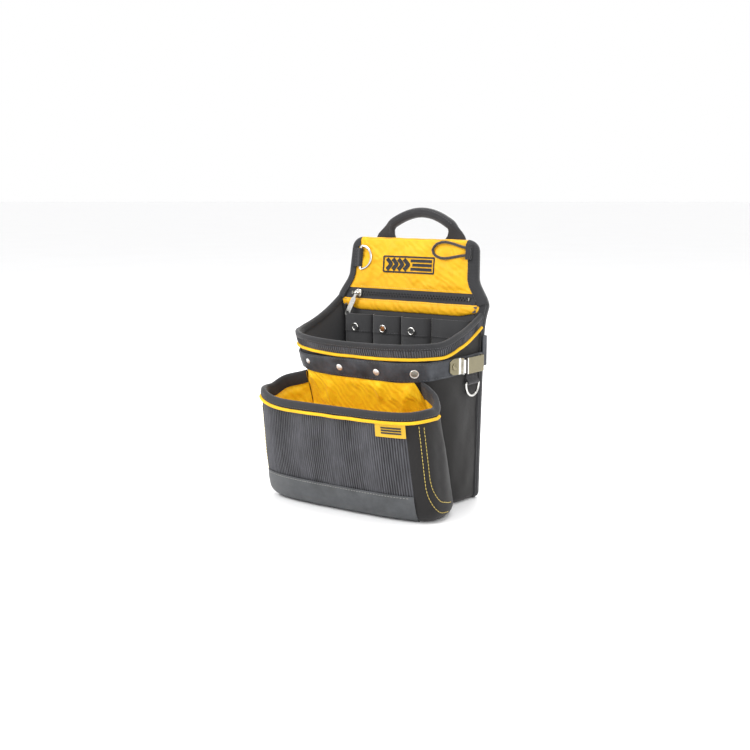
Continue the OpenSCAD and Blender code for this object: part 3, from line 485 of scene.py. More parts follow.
def crumple(width, height, step, grow, seed, cap, pressure=0.0, pins=None):
    """Relief of a sheet of cloth held along its edges, and where pins(x, z) says, whose cloth is
    larger than its frame by grow: a function of the place on the sheet, in millimetres."""
    nx, nz = int(width / step) + 1, int(height / step) + 1
    x, z = np.meshgrid(np.linspace(0, width, nx), np.linspace(0, height, nz))
    start = 0.35 * waves(x, z, 26, seed)
    verts = np.stack([x, start, z], -1).reshape(-1, 3)
    i = np.arange(nx * nz).reshape(nz, nx)
    faces = np.stack([i[:-1, :-1], i[:-1, 1:], i[1:, 1:], i[1:, :-1]], -1).reshape(-1, 4)
    ob = mesh_object("sheet", verts, faces.tolist())
    held = (x < 0.1) | (x > width - 0.1) | (z < 0.1) | (z > height - 0.1)
    if pins is not None:
        held = held | pins(x, z)
    group = ob.vertex_groups.new(name="held")
    group.add(np.flatnonzero(held.ravel()).tolist(), 1.0, "REPLACE")
    mod = ob.modifiers.new("cloth", "CLOTH")
    s = mod.settings
    s.quality, s.mass, s.air_damping = 6, 0.15, 2.0
    s.tension_stiffness = s.compression_stiffness = 25
    s.shear_stiffness, s.bending_stiffness = 12, 0.12
    s.vertex_group_mass = "held"
    s.shrink_min = -grow
    s.effector_weights.gravity = 0
    if pressure:
        s.use_pressure = True
        s.uniform_pressure_force = pressure
    mod.collision_settings.use_collision = False
    mod.point_cache.frame_start, mod.point_cache.frame_end = 1, FRAMES
    for f in range(1, FRAMES + 1):
        bpy.context.scene.frame_set(f)
    me = ob.evaluated_get(bpy.context.evaluated_depsgraph_get()).to_mesh()
    co = np.zeros(len(me.vertices) * 3, np.float32)
    me.vertices.foreach_get("co", co)
    relief = co.reshape(nz, nx, 3)[:, :, 1] / MM
    bpy.data.objects.remove(ob)
    bpy.context.scene.frame_set(1)
    relief = cap * np.tanh(relief / cap)
    dx, dz = width / (nx - 1), height / (nz - 1)

    def at(u, v):
        fx, fz = np.clip(u / dx, 0, nx - 1.001), np.clip(v / dz, 0, nz - 1.001)
        ix, iz = fx.astype(int), fz.astype(int)
        tx, tz = ease(fx - ix), ease(fz - iz)
        top = relief[iz + 1, ix] * (1 - tx) + relief[iz + 1, ix + 1] * tx
        return (relief[iz, ix] * (1 - tx) + relief[iz, ix + 1] * tx) * (1 - tz) + top * tz
    return at


# ------------------------------------------------------------------ materials


class Nodes:
    """A material's node tree, with short calls to add nodes and link them."""

    def __init__(self, name, coord="UV"):
        self.mat = bpy.data.materials.new(name)
        self.mat.use_nodes = True
        self.tree = self.mat.node_tree
        self.shader = self.tree.nodes["Principled BSDF"]
        self.coord = self.tree.nodes.new("ShaderNodeTexCoord").outputs[coord]

    def add(self, kind, links=None, **values):
        node = self.tree.nodes.new(kind)
        for key, value in values.items():
            setattr(node, key, value)
        for key, value in (links or {}).items():
            self.put(node.inputs[key], value)
        return node

    def put(self, socket, value):
        if isinstance(value, bpy.types.NodeSocket):
            self.tree.links.new(value, socket)
        else:
            socket.default_value = value

    def math(self, operation, a, b=0.0, clamp=False):
        node = self.add("ShaderNodeMath", {0: a, 1: b}, operation=operation, use_clamp=clamp)
        return node.outputs[0]

    def weigh(self, a, share_a, b, share_b):
        """The sum of a and b, each times its share."""
        return self.math("ADD", self.math("MULTIPLY", a, share_a),
                         self.math("MULTIPLY", b, share_b))

    def gloss(self, value, spread, least):
        """A roughness from least up, by as much as value says."""
        return self.math("ADD", self.math("MULTIPLY", value, spread), least, clamp=True)

    def noise(self, scale, detail=3.0, rough=0.55, vector=None, distortion=0.0):
        node = self.add("ShaderNodeTexNoise", {"Vector": vector or self.coord, "Scale": scale,
                                               "Detail": detail, "Roughness": rough,
                                               "Distortion": distortion})
        return node.outputs["Fac"]

    def bands(self, period, direction, turn=0.0, wobble=0.0, profile="SIN"):
        """Stripes, 0 to 1, whose period is in metres."""
        spin = self.add("ShaderNodeMapping", {"Vector": self.coord,
                                              "Rotation": (0, 0, math.radians(turn))})
        node = self.add("ShaderNodeTexWave", {"Vector": spin.outputs[0],
                                              "Scale": 0.314159 / period,
                                              "Distortion": wobble, "Detail": 1.0},
                        wave_type="BANDS", bands_direction=direction, wave_profile=profile)
        return node.outputs["Fac"]

    def ramp(self, value, stops):
        node = self.add("ShaderNodeValToRGB", {"Fac": value})
        while len(node.color_ramp.elements) < len(stops):
            node.color_ramp.elements.new(0.5)
        for e, (place_, colour) in zip(node.color_ramp.elements, stops):
            e.position, e.color = place_, (*colour, 1)
        return node.outputs["Color"]

    def shades(self, value, colour, dark, pale, lo=0.1, hi=0.9):
        return self.ramp(value, [(lo, scaled(colour, dark)), (hi, scaled(colour, pale))])

    def dusty(self, colour, value, dark, pale, lo=0.35):
        """A colour made darker and paler in patches."""
        patches = self.ramp(value, [(lo, (dark,) * 3), (0.7, (pale,) * 3)])
        return self.mix(1.0, colour, patches, "MULTIPLY")

    def mix(self, fac, a, b, kind="MIX"):
        node = self.add("ShaderNodeMix", data_type="RGBA", blend_type=kind)
        self.put(node.inputs["Factor"], fac)
        for key, value in ((6, a), (7, b)):
            self.put(node.inputs[key], value if isinstance(value, bpy.types.NodeSocket)
                     else (*value, 1))
        return node.outputs[2]

    def bump(self, height, distance, strength=1.0, under=None):
        links = {"Height": height, "Distance": distance, "Strength": strength}
        if under is not None:
            links["Normal"] = under
        return self.add("ShaderNodeBump", links).outputs[0]

    def finish(self, colour, rough, normal=None, **constants):
        self.put(self.shader.inputs["Base Color"], colour)
        self.put(self.shader.inputs["Roughness"], rough)
        if normal is not None:
            self.put(self.shader.inputs["Normal"], normal)
        for key, value in constants.items():
            self.shader.inputs[key.replace("_", " ")].default_value = value
        return self.mat

    def fabric(self, colour, rough, normal, sheen, fuzz=0.4, shine=0.3):
        return self.finish(colour, rough, normal, Sheen_Weight=sheen, Sheen_Roughness=fuzz,
                           Specular_IOR_Level=shine)


def scaled(colour, k):
    return tuple(min(1.0, c * k) for c in colour)


def woven(name, colour, pitch=1.1, rough=0.85, sheen=0.25, depth=0.14, mottle=0.35,
          coord="UV"):
    """Plain weave: two sets of threads pitch millimetres apart, fuzz and uneven dye."""
    n = Nodes(name, coord)
    height = n.math("MULTIPLY", n.math("ADD", n.bands(pitch * MM, "X", wobble=0.6),
                                       n.bands(pitch * MM, "Y", wobble=0.6)), 0.5)
    fuzz = n.noise(2600, 2.0)
    broad = n.noise(26, 4.0, 0.6)
    thread = n.shades(n.weigh(height, 0.55, fuzz, 0.45), colour, 1 - mottle, 1 + mottle,
                      0.15, 0.85)
    raised = n.math("ADD", height, n.math("MULTIPLY", fuzz, 0.5))
    normal = n.bump(raised, depth * MM, 0.8, n.bump(broad, 0.7 * MM, 0.3))
    return n.fabric(n.dusty(thread, broad, 0.94, 1.06), n.gloss(broad, 0.16, rough - 0.08),
                    normal, sheen, fuzz=0.45)


def tape(name, colour, pitch=1.6, sheen=0.3, depth=0.18):
    """Grosgrain: ribs across the tape with fine threads along it."""
    n = Nodes(name)
    height = n.weigh(n.bands(pitch * MM, "X", wobble=0.4), 0.75,
                     n.bands(0.55 * MM, "Y", wobble=0.5), 0.25)
    broad = n.noise(34, 3.0)
    tone = n.dusty(n.shades(height, colour, 0.7, 1.3), broad, 0.88, 1.12)
    normal = n.bump(height, depth * MM, 0.8, n.bump(broad, 0.8 * MM, 0.3))
    return n.fabric(tone, n.gloss(broad, 0.14, 0.73), normal, sheen, shine=0.35)


def herringbone(name, colour):
    """Webbing: slanted threads that change direction every few millimetres."""
    n = Nodes(name)
    left, right = (n.bands(1.5 * MM, "X", turn=turn, wobble=0.3) for turn in (38, -38))
    column = n.bands(8 * MM, "Y")
    side = n.math("GREATER_THAN", column, 0.5)
    twill = n.add("ShaderNodeMix", {0: side, 2: left, 3: right}, data_type="FLOAT").outputs[0]
    valley = n.math("MULTIPLY", n.math("ABSOLUTE", n.math("SUBTRACT", column, 0.5)), 2.0)
    height = n.math("MULTIPLY", twill, n.math("ADD", n.math("MULTIPLY", valley, 0.4), 0.6))
    broad = n.noise(30, 3.0)
    tone = n.dusty(n.shades(height, colour, 0.6, 1.35), broad, 0.88, 1.12)
    normal = n.bump(height, 0.25 * MM, 0.8, n.bump(broad, 1.0 * MM, 0.3))
    return n.fabric(tone, 0.78, normal, 0.3, shine=0.35)


def coated(name, colour, rough, coat, shine=0.5, pale=1.3):
    """Smooth coated cloth: faint grain, soft gloss, scuffs, paler worn places, and broad patches
    whose paler side, when pale is high, is painted highlight.
    """
    n = Nodes(name)
    grain = n.add("ShaderNodeTexVoronoi", {"Vector": n.coord, "Scale": 1300.0},
                  feature="DISTANCE_TO_EDGE").outputs["Distance"]
    cell = n.math("MULTIPLY", grain, 3.0, clamp=True)
    broad = n.noise(38, 5.0, 0.65)
    scuff = n.noise(190, 6.0, 0.75, distortion=1.2)
    worn = n.math("GREATER_THAN", scuff, 0.66)
    # broad patches, from darker up to pale times paler: the strap's high pale makes them painted
    # highlight
    base = n.shades(broad, colour, 0.75, pale, 0.35, 0.65)
    tone = n.mix(n.math("MULTIPLY", worn, 0.3), base, scaled(colour, 2.0))
    normal = n.bump(cell, 0.05 * MM, 0.5, n.bump(broad, 1.0 * MM, 0.35))
    return n.finish(tone, n.gloss(scuff, 0.3, rough - 0.13), normal, Coat_Weight=coat,
                    Coat_Roughness=0.32, Specular_IOR_Level=shine)


def nylon(name, colour, painted_shade, lean):
    """Thin yellow nylon: fine weave, long wrinkles at an angle of lean, and a satin gloss. Its
    creases and broad patches are laid in the second, deeper colour as painted shade.
    """
    n = Nodes(name)
    weave = n.math("MULTIPLY", n.math("ADD", n.bands(0.7 * MM, "X", wobble=0.5),
                                      n.bands(0.7 * MM, "Y", wobble=0.5)), 0.5)
    crease = n.noise(85, 5.0, 0.62, distortion=1.6)
    broad = n.noise(24, 3.0)
    wrinkle = n.math("MULTIPLY", n.bands(7 * MM, "Y", turn=lean, wobble=7), broad)
    # painted shade: creases and broad patches darken to the deeper orange
    base = n.ramp(crease, [(0.25, painted_shade), (0.55, colour)])
    shade_painted_tone = n.mix(0.3, base, n.ramp(broad, [(0.3, painted_shade), (0.65, colour)]))
    tone = n.mix(1.0, shade_painted_tone, n.ramp(weave, [(0.0, (0.9,) * 3), (1.0, (1.04,) * 3)]), "MULTIPLY")
    folds = n.bump(wrinkle, 1.1 * MM, 0.6, n.bump(crease, 0.8 * MM, 0.45))
    return n.fabric(tone, n.gloss(broad, 0.15, 0.48), n.bump(weave, 0.06 * MM, 0.7, folds), 0.06)


def metal(name, colour, rough=0.2, brushed=False):
    """Plated metal: fine scratches, dull spots and slightly uneven plating."""
    n = Nodes(name, "Object")
    spots = n.noise(420, 5.0, 0.7)
    broad = n.noise(90, 3.0)
    if brushed:
        long = n.add("ShaderNodeMapping", {"Vector": n.coord, "Scale": (1.0, 0.06, 1.0)})
        scratch = n.noise(5200, 2.0, 0.5, long.outputs[0])
    else:
        scratch = n.noise(3400, 2.0, 0.5)
    tone = n.mix(0.25, n.shades(spots, colour, 0.72, 1, 0.25, 0.55),
                 n.shades(broad, colour, 0.8, 1, 0.3, 0.7))
    roughness = n.math("ADD", n.weigh(spots, 0.22, scratch, 0.12), rough - 0.14, clamp=True)
    return n.finish(tone, roughness, n.bump(scratch, 0.012 * MM, 0.5), Metallic=1.0)


def thread_material(name, colour):
    """Twisted sewing thread."""
    n = Nodes(name)
    ply = n.bands(0.5 * MM, "X", turn=35)
    return n.finish(n.shades(ply, colour, 0.6, 1.1, 0.1, 0.8), 0.6, n.bump(ply, 0.06 * MM, 0.7),
                    Sheen_Weight=0.2, Specular_IOR_Level=0.4)


def plastic(name, colour, coord="UV", rough=0.45):
    n = Nodes(name, coord)
    spots = n.noise(900, 4.0, 0.6)
    return n.finish(n.shades(spots, colour, 0.85, 1.15, 0.3, 0.7),
                    n.gloss(spots, 0.2, rough - 0.1), n.bump(spots, 0.03 * MM, 0.4),
                    Specular_IOR_Level=0.45)


def ribbed_cloth(name, colour):
    """Cloth whose ribs are in its mesh: threads along each rib, paler on the crowns."""
    n = Nodes(name)
    twill = n.bands(0.9 * MM, "Y", turn=24, wobble=0.8)
    rib = n.bands(RIB_PITCH * MM, "X")
    fuzz = n.noise(1900, 3.0)
    patch = n.noise(30, 5.0, 0.6)
    streak = n.add("ShaderNodeMapping", {"Vector": n.coord, "Scale": (1.0, 0.12, 1.0)})
    line = n.noise(420, 3.0, 0.6, streak.outputs[0])
    thread = n.shades(n.weigh(rib, 0.4, line, 0.6), colour, 0.4, 2.0, 0.3, 0.75)
    normal = n.bump(n.weigh(twill, 0.5, fuzz, 0.5), 0.14 * MM, 0.8,
                    n.bump(patch, 1.2 * MM, 0.3))
    return n.fabric(n.dusty(thread, patch, 0.82, 1.2, 0.3), 0.82, normal, 0.3)

BLACK = (0.015, 0.014, 0.014)
CHARCOAL = (0.043, 0.043, 0.048)
YELLOW = (0.80, 0.425, 0.006)
# the yellow cloth's colour in shade, painted into its creases and patches as painted shade
PAINTED_SHADE_YELLOW = (0.72, 0.33, 0.003)
NICKEL = (0.72, 0.71, 0.68)

CORDURA = woven("cordura", BLACK, 1.2, sheen=0.12)
PLAIN = woven("plain_black", (0.016, 0.015, 0.0145), 0.9, rough=0.8, sheen=0.16, depth=0.1)
LINING = woven("dark_lining", (0.042, 0.042, 0.044), 0.8, rough=0.78, depth=0.08)
MESH_BACK = woven("spacer_mesh", (0.024, 0.024, 0.026), 2.6, depth=0.6, mottle=0.5)
RIBBED = ribbed_cloth("ribbed", CHARCOAL)
BINDING = tape("binding_tape", (0.024, 0.024, 0.026), sheen=0.2)
WEBBING = herringbone("webbing", (0.024, 0.023, 0.025))
# pale=2.1 paints broad highlight patches into the strap's colour: painted highlight
COATED = coated("coated_strap", (0.031, 0.033, 0.038), rough=0.44, coat=0.06, shine=0.22,
                pale=2.1)
COATED_GREY = coated("coated_band", (0.050, 0.053, 0.057), rough=0.5, coat=0.1)
# the second colour of each yellow cloth is its painted shade, laid into creases and broad patches
YELLOW_CLOTH = nylon("yellow_nylon", YELLOW, PAINTED_SHADE_YELLOW, 38)
YELLOW_LINING = nylon("yellow_lining", (0.95, 0.60, 0.010), (0.84, 0.40, 0.004), -52)
YELLOW_PIPING = tape("yellow_piping", (0.84, 0.45, 0.010), pitch=1.0, depth=0.08, sheen=0.1)
YELLOW_LABEL = tape("label_tape", (0.62, 0.38, 0.03), pitch=0.8, depth=0.06, sheen=0.1)
NICKEL_PLATE = metal("nickel_plate", NICKEL)
SATIN_NICKEL = metal("satin_nickel", (0.90, 0.89, 0.87), rough=0.5)
CLIP_STEEL = metal("clip_steel", (0.29, 0.26, 0.17), rough=0.40, brushed=True)
# a bright metal and a near-black one, laid across the clip's bend as painted highlight and painted
# shade
CLIP_PAINTED_HIGHLIGHT = metal("clip_painted_highlight", (0.95, 0.94, 0.90), rough=0.30, brushed=True)
CLIP_PAINTED_SHADE = metal("clip_painted_shade", (0.055, 0.045, 0.040), rough=0.6, brushed=True)
DARK_METAL = metal("dark_metal", (0.30, 0.30, 0.27), rough=0.55)
COPPER = metal("copper", (0.62, 0.26, 0.10), rough=0.35)
BLACK_THREAD = thread_material("black_thread", (0.075, 0.075, 0.08))
PALE_THREAD = thread_material("pale_thread", (0.30, 0.30, 0.28))
YELLOW_THREAD = thread_material("yellow_thread", (0.74, 0.56, 0.12))
TOOTH = plastic("zip_tooth", (0.035, 0.035, 0.038))
TAPE_CLOTH = tape("zip_tape_cloth", (0.032, 0.032, 0.035), pitch=1.1)
BOARD = plastic("board", (0.3, 0.31, 0.32), "Object", 0.6)
BADGE_THREAD = tape("badge_thread", (0.030, 0.030, 0.034), pitch=0.5, depth=0.1, sheen=0.15)
ELASTIC = tape("elastic_braid", (0.050, 0.040, 0.036), pitch=0.9, depth=0.2)


def dress(ob, material, body="pouch", nodes=()):
    """Gives a piece its material and body, and hides the CAD nodes it stands for."""
    ob.data.materials.clear()
    ob.data.materials.append(material)
    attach(ob, body)
    if nodes:
        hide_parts(*nodes)
    return ob


def piece(name, parts, material, nodes=(), body="pouch", smooth=SMOOTH):
    """One piece from (verts, faces, uvs) parts."""
    return dress(joined(name, parts, smooth), material, body, nodes)


# ------------------------------------------------------------------ camera, light and floor

CAM_AT = Vector((0.775454, -1.089803, 0.354631))
CAM_LOOK = Vector((-0.57364658, 0.80422284, -0.15541953))
CAM_LENS = 57.18
WORLD = 1.0
LIGHTS = [("key", (-0.9, -1.5, 1.7), 1.2, 34),
          ("fill", (1.7, -1.1, 0.9), 1.4, 12),
          ("top", (0.1, 0.3, 2.1), 1.5, 22),
          ("back", (-0.6, 1.8, 1.1), 1.3, 12)]       # name, place, size and power


def studio():
    cam = bpy.data.objects.new("camera", bpy.data.cameras.new("camera"))
    cam.location = CAM_AT
    cam.rotation_mode = "QUATERNION"
    cam.rotation_quaternion = CAM_LOOK.to_track_quat("-Z", "Y")
    cam.data.lens, cam.data.sensor_width = CAM_LENS, 36
    cam.data.clip_start, cam.data.clip_end = 0.05, 30
    bpy.context.scene.collection.objects.link(cam)
    bpy.context.scene.camera = cam
    bpy.context.scene.view_settings.view_transform = "Standard"

    world = bpy.data.worlds.new("studio")
    world.use_nodes = True
    background = world.node_tree.nodes["Background"].inputs
    background["Color"].default_value = (1, 1, 1, 1)
    background["Strength"].default_value = WORLD
    bpy.context.scene.world = world

    middle = Vector((0, 0, 0.15))
    for name, at, size, watts in LIGHTS:
        light = bpy.data.lights.new(name, "AREA")
        light.shape, light.size, light.energy = "DISK", size, watts
        ob = bpy.data.objects.new(name, light)
        ob.location = at
        ob.rotation_mode = "QUATERNION"
        ob.rotation_quaternion = (middle - ob.location).to_track_quat("-Z", "Y")
        bpy.context.scene.collection.objects.link(ob)

def floor():
    """A plain pale floor that runs on into the white background."""
    verts = [(x, y, 0) for y in (-30, 40) for x in (-40, 40)]
    faces = [[0, 1, 3, 2]]
    turn = Matrix.Rotation(-math.atan2(CAM_LOOK.x, CAM_LOOK.y), 4, "Z")
    ob = mesh_object("floor", np.array([turn @ Vector(v) for v in verts]) / MM, faces)
    n = Nodes("floor", "Object")
    tone = n.ramp(n.noise(3, 2.0), [(0.3, (0.95, 0.95, 0.955)), (0.7, (0.965, 0.965, 0.97))])
    ob.data.materials.append(n.finish(tone, 0.6))


studio()
floor()

# ------------------------------------------------------------------ elastic loop

LOOP_ROUTE = [(75.4, -4.4, 287.5), (71, -4.5, 288.2), (66, -4.5, 289.4), (60, -4.4, 291),
              (54, -4.2, 292.4), (48, -4, 293.3), (42, -3.8, 293), (36, -3.6, 291),
              (32, -3.6, 287.6), (30.3, -3.6, 283.6), (32, -3.6, 279.6), (36, -3.6, 276.6),
              (42, -3.8, 274.8), (48, -4, 274.6), (54, -4.2, 275.4), (60, -4.4, 276.5),
              (66, -4.5, 277.6), (71, -4.5, 278.4), (75.4, -4.4, 278.8)]
LOOP_R = 1.6


def elastic_loop():
    """The elastic cord that leaves its tab and comes back into it."""
    pts = np.array([panel_at(x, np.float64(z), y) for x, y, z in LOOP_ROUTE]) * MM
    cu = bpy.data.curves.new("elastic_loop", "CURVE")
    cu.dimensions = "3D"
    cu.bevel_depth, cu.bevel_resolution, cu.resolution_u = LOOP_R * MM, 4, 6
    sp = cu.splines.new("POLY")
    sp.points.add(len(pts) - 1)
    for q, p in zip(sp.points, pts):
        q.co = (*p, 1)
    sp.use_smooth = True
    ob = bpy.data.objects.new("elastic_loop", cu)
    bpy.context.scene.collection.objects.link(ob)
    dress(ob, ELASTIC, nodes=["cord_loop"])
    return ob


elastic_loop()

# ------------------------------------------------------------------ small makers


def on_panel(p):
    """Points given on the upper panel, x across, y behind its face and z up it, in place."""
    p = np.asarray(p, float)
    return panel_at(p[..., 0], p[..., 2], p[..., 1])


def moved(parts, move):
    return [(move(v), f, t) for v, f, t in parts]


def panel_stitches(p, out, **keys):
    """Stitches along a line given on the panel; out is -1 on its front and 1 on its back."""
    q = on_panel(p)
    return stitch_row(q, on_panel(p + (0, out, 0)) - q, **keys)

def brick(lo, hi, b=0.25):
    """A block with cut edges."""
    (x0, y0, z0), (x1, y1, z1) = lo, hi

    def ring(z, m):
        return [(x0 + m + b, y0 + m, z), (x1 - m - b, y0 + m, z), (x1 - m, y0 + m + b, z),
                (x1 - m, y1 - m - b, z), (x1 - m - b, y1 - m, z), (x0 + m + b, y1 - m, z),
                (x0 + m, y1 - m - b, z), (x0 + m, y0 + m + b, z)]
    return part([ring(z0, b), ring(z0 + b, 0), ring(z1 - b, 0), ring(z1, b)])


def ribbon(path, across, width, thick, crown=0.0):
    """A tape along a path [point, xyz], with rounded edges; across points along its width."""
    path = np.asarray(path, float)
    n = len(path)
    d = unit(np.gradient(path, axis=0))
    across = np.broadcast_to(np.asarray(across, float), (n, 3))
    across = unit(across - (across * d).sum(1)[:, None] * d)
    out = np.cross(across, d)
    half = np.broadcast_to(width, (n,))[:, None] / 2
    t = thick / 2 + 0 * half
    e = min(0.35, thick / 2 * 0.6)                    # how much its edges are rounded
    s = np.linspace(-1, 1, 9)[None, :]
    over = crown * (1 - s ** 2)
    x = np.concatenate([s * (half - e), half + 0 * t, half + 0 * t, (s * (half - e))[:, ::-1],
                        -half + 0 * t, -half + 0 * t], 1)
    y = np.concatenate([t + over, t - e, e - t, (over - t)[:, ::-1], e - t, t - e], 1)
    return part(path[:, None, :] + x[:, :, None] * across[:, None, :]
                + y[:, :, None] * out[:, None, :])


def smooth_path(points, r=1.5, steps=5, gap=4.0):
    """An open path [point, xyz] with rounded corners and points no further apart than gap."""
    pts = [np.array(p, float) for p in points]
    out = [pts[0]]
    for a, p, b in zip(pts, pts[1:], pts[2:]):
        u, v = a - p, b - p
        cut = min(r, 0.45 * np.linalg.norm(u), 0.45 * np.linalg.norm(v))
        s, e = p + u / np.linalg.norm(u) * cut, p + v / np.linalg.norm(v) * cut
        for q in np.linspace(0, 1, steps + 1):
            out.append((1 - q) ** 2 * s + 2 * q * (1 - q) * p + q * q * e)
    out.append(pts[-1])
    dense = [out[0]]
    for a, b in zip(out, out[1:]):
        k = int(np.linalg.norm(b - a) // gap) + 1
        if np.linalg.norm(b - a) > 1e-6:
            dense += [a + (b - a) * i / k for i in range(1, k + 1)]
    return np.array(dense)


def grid_sheet(front, back):
    """A closed sheet between two grids of points [column, row, xyz]."""
    return part(np.concatenate([front, back[:, ::-1]], axis=1))


def floor_sheet(outline, z0, z1, rise=None):
    """A flat closed piece inside an outline [point, xy]."""
    outline = np.asarray(outline, float)
    mid = outline.mean(0)
    loops = []
    for z, shares in ((z0, np.linspace(0.02, 1, 7)), (z1, np.linspace(1, 0.02, 7))):
        for s in shares:
            xy = mid + (outline - mid) * s
            up = 0 if rise is None or z == z0 else rise(xy[:, 0], xy[:, 1])
            loops.append(np.column_stack([xy, np.full(len(xy), z) + up]))
    return part(loops)


def main_angle(x, z):
    """The angle at which the main wall's face is at x."""
    share = 0.0
    for _ in range(8):
        depth = max(0, 1 - share ** 4) ** 0.25
        share = min(1, abs(x) / (main_w(z) + BELLY * z / RIM_Z * depth))
    return math.degrees(math.acos(math.copysign(share ** 2, x)))


def band(x, lo, hi, soft):
    """1 between lo and hi, and 0 outside, with soft ends."""
    return ease((x - lo) / soft) * ease((hi - x) / soft)


# ------------------------------------------------------------------ main pouch

A_MAIN, U_MAIN = even(main_at, 0, 180, 3.0, 120.0)


def side_relief(u, z):
    """Soft folds on the sides of the main pouch, none behind the front pocket or the strap."""
    s = np.abs(u / U_MAIN[-1] - 0.5) * 2
    fold = 0.8 * waves(u * 1.6, z * 0.55, 60, 11) + 0.25 * waves(u, z, 26, 12)
    return np.minimum(fold, 1.3) * ease((s - 0.42) / 0.2) * band(z, 6, 147, 18)


def main_pouch():
    top = rim_at(A_MAIN) - TAPE_T - GAP
    for name, material, slot, out, thick in (
            ("main_wall", PLAIN, "black_cordura", 0, WALL_T),
            ("main_lining", LINING, "dark_lining", -WALL_T - LAYER_GAP, LINING_T)):
        loops = wall(main_at, A_MAIN, U_MAIN, main_edge(A_MAIN), top, 56, out, thick, side_relief)
        piece(name, [part(loops)], material, [name])

    a, u = even(main_at, 0, 180, 0.6, 200.0)
    foot = rim_at(a) - MOUTH_BINDING_H - MOUTH_BAND_H + 0.2
    v = np.linspace(0, 1, 8)[None, :]
    z = foot[:, None] + v * (MOUTH_BAND_H - 0.5)
    out = 2 * GAP + TAPE_T - 0.4 + 0.5 * np.sin(np.pi * v)
    loops = cloth(main_at, a, z, out, TAPE_T,
                  ribs=RIB_H * np.cos(2 * math.pi * u / RIB_PITCH)[:, None])
    piece("mouth_band", [part(loops)], RIBBED, ["mouth_band"])

    x_out, x_in = GAP + TAPE_T, INNER - GAP - TAPE_T
    off, drop = binding_section(x_out, x_in, MOUTH_BINDING_H, TAPE_T * 0.8).T[:, None, :]
    wander = 0.35 * waves(U_MAIN, 0 * U_MAIN, 34, 5)[:, None]
    rim = rim_at(A_MAIN)[:, None] + drop + wander * (drop < -5)
    lump = 0.22 * waves(U_MAIN[:, None] + 0 * off, off * 2, 13, 6)
    off = off * (1 + 0.06 * lump) + 0.3 * lump * np.sign(off + 1.4)
    piece("mouth_binding", [part(main_at(A_MAIN[:, None], rim, off))], BINDING,
          ["mouth_binding"])

    z = rim_at(A_MAIN) - MOUTH_BINDING_H - MOUTH_BAND_H - PIPING_R
    path = main_at(A_MAIN, z + 0.25 * waves(U_MAIN, 0 * U_MAIN, 40, 9), GAP + PIPING_R)
    cord = tube(path, PIPING_R * (1 + 0.04 * waves(U_MAIN, 0 * U_MAIN, 14, 8)))
    piece("mouth_piping", [cord], YELLOW_PIPING, ["mouth_piping"])

    a = A_MAIN[(A_MAIN > 3) & (A_MAIN < 177)]
    rows = [stitch_row(*on_surface(main_at, a, rim_at(a) - MOUTH_BINDING_H + 1.5, x_out + 0.1))]
    piece("mouth_stitches", rows, BLACK_THREAD)


def main_floor():
    p = main_at(A_MAIN, 0 * A_MAIN, -main_edge(A_MAIN) - GAP)
    edge = np.column_stack([p[:, 0], np.minimum(p[:, 1], BACK_Y - 0.1)])
    piece("main_base", [floor_sheet(edge, 0, WALL_T)], CORDURA, ["main_base"])
    top = WALL_T + 2.9
    sheet = floor_sheet(edge, top - LINING_T, top, lambda x, y: 0.5 + 0.5 * waves(x, y, 36, 4))
    piece("main_floor_lining", [sheet], LINING, ["floor_lining"])


main_pouch()
main_floor()

# ------------------------------------------------------------------ padded back panel

PANEL_ROWS = np.concatenate([FOOT_R - FOOT_R * np.cos(np.radians(np.arange(0, 90, 15))),
                             np.arange(FOOT_R, CORNER_Z, 3.0),
                             CORNER_Z + CORNER_R * np.sin(np.radians(np.arange(0, 91, 9)))])


def panel_grid(y, m):
    """Points [column, row, xyz] over the panel; y is a number or a function of x and z."""
    t = np.linspace(-1, 1, 64)[:, None]
    z = PANEL_ROWS[None, :]
    x = t * np.maximum(0.5, panel_edge(np.clip(z, m + 0.01, PANEL_TOP - m), m))
    z = np.clip(z, m, PANEL_TOP - m) + 0 * x
    return panel_at(x, z, y(x, z) if callable(y) else y + 0 * x)


def back_pad():
    mid, limit, seam = 104, 1.7, 1.6      # the pad's middle, its relief's limit, half a seam

    def pins(x, z):
        line = np.zeros(x.shape, bool)
        for c in (-62.0, 0.0, 62.0):
            line |= (np.abs(x - mid - c) < seam) & (z < PANEL_TOP)
        for c in (60.0, 100.0, 212.0):
            line |= np.abs(z - c) < seam
        return line

    quilt = crumple(2 * mid, 296, step=4.0, grow=0.02, seed=3, cap=limit, pressure=2.5,
                    pins=pins)

    def back(x, z):
        edge = ease((panel_edge(z, 0) - np.abs(x)) / 9) * ease((PANEL_TOP - z) / 9) * ease(z / 9)
        level = np.clip(np.abs(quilt(x + mid, z)) / limit, 0, 1)
        return PANEL_T - (1.5 - 1.45 * level) * edge

    ob = piece("back_pad", [grid_sheet(panel_grid(3.3, 0.3), panel_grid(back, 0.0))], MESH_BACK,
               ["back_cover", "back_foam"])

    def front(x, z):
        return 0.35 * ease(z / 10) * (waves(x, z * 0.4, 40, 21) * 0.5 + 0.5)
    piece("back_lining_cloth", [grid_sheet(panel_grid(front, 0.2), panel_grid(1.0, 0.2))],
          LINING, ["back_lining"])


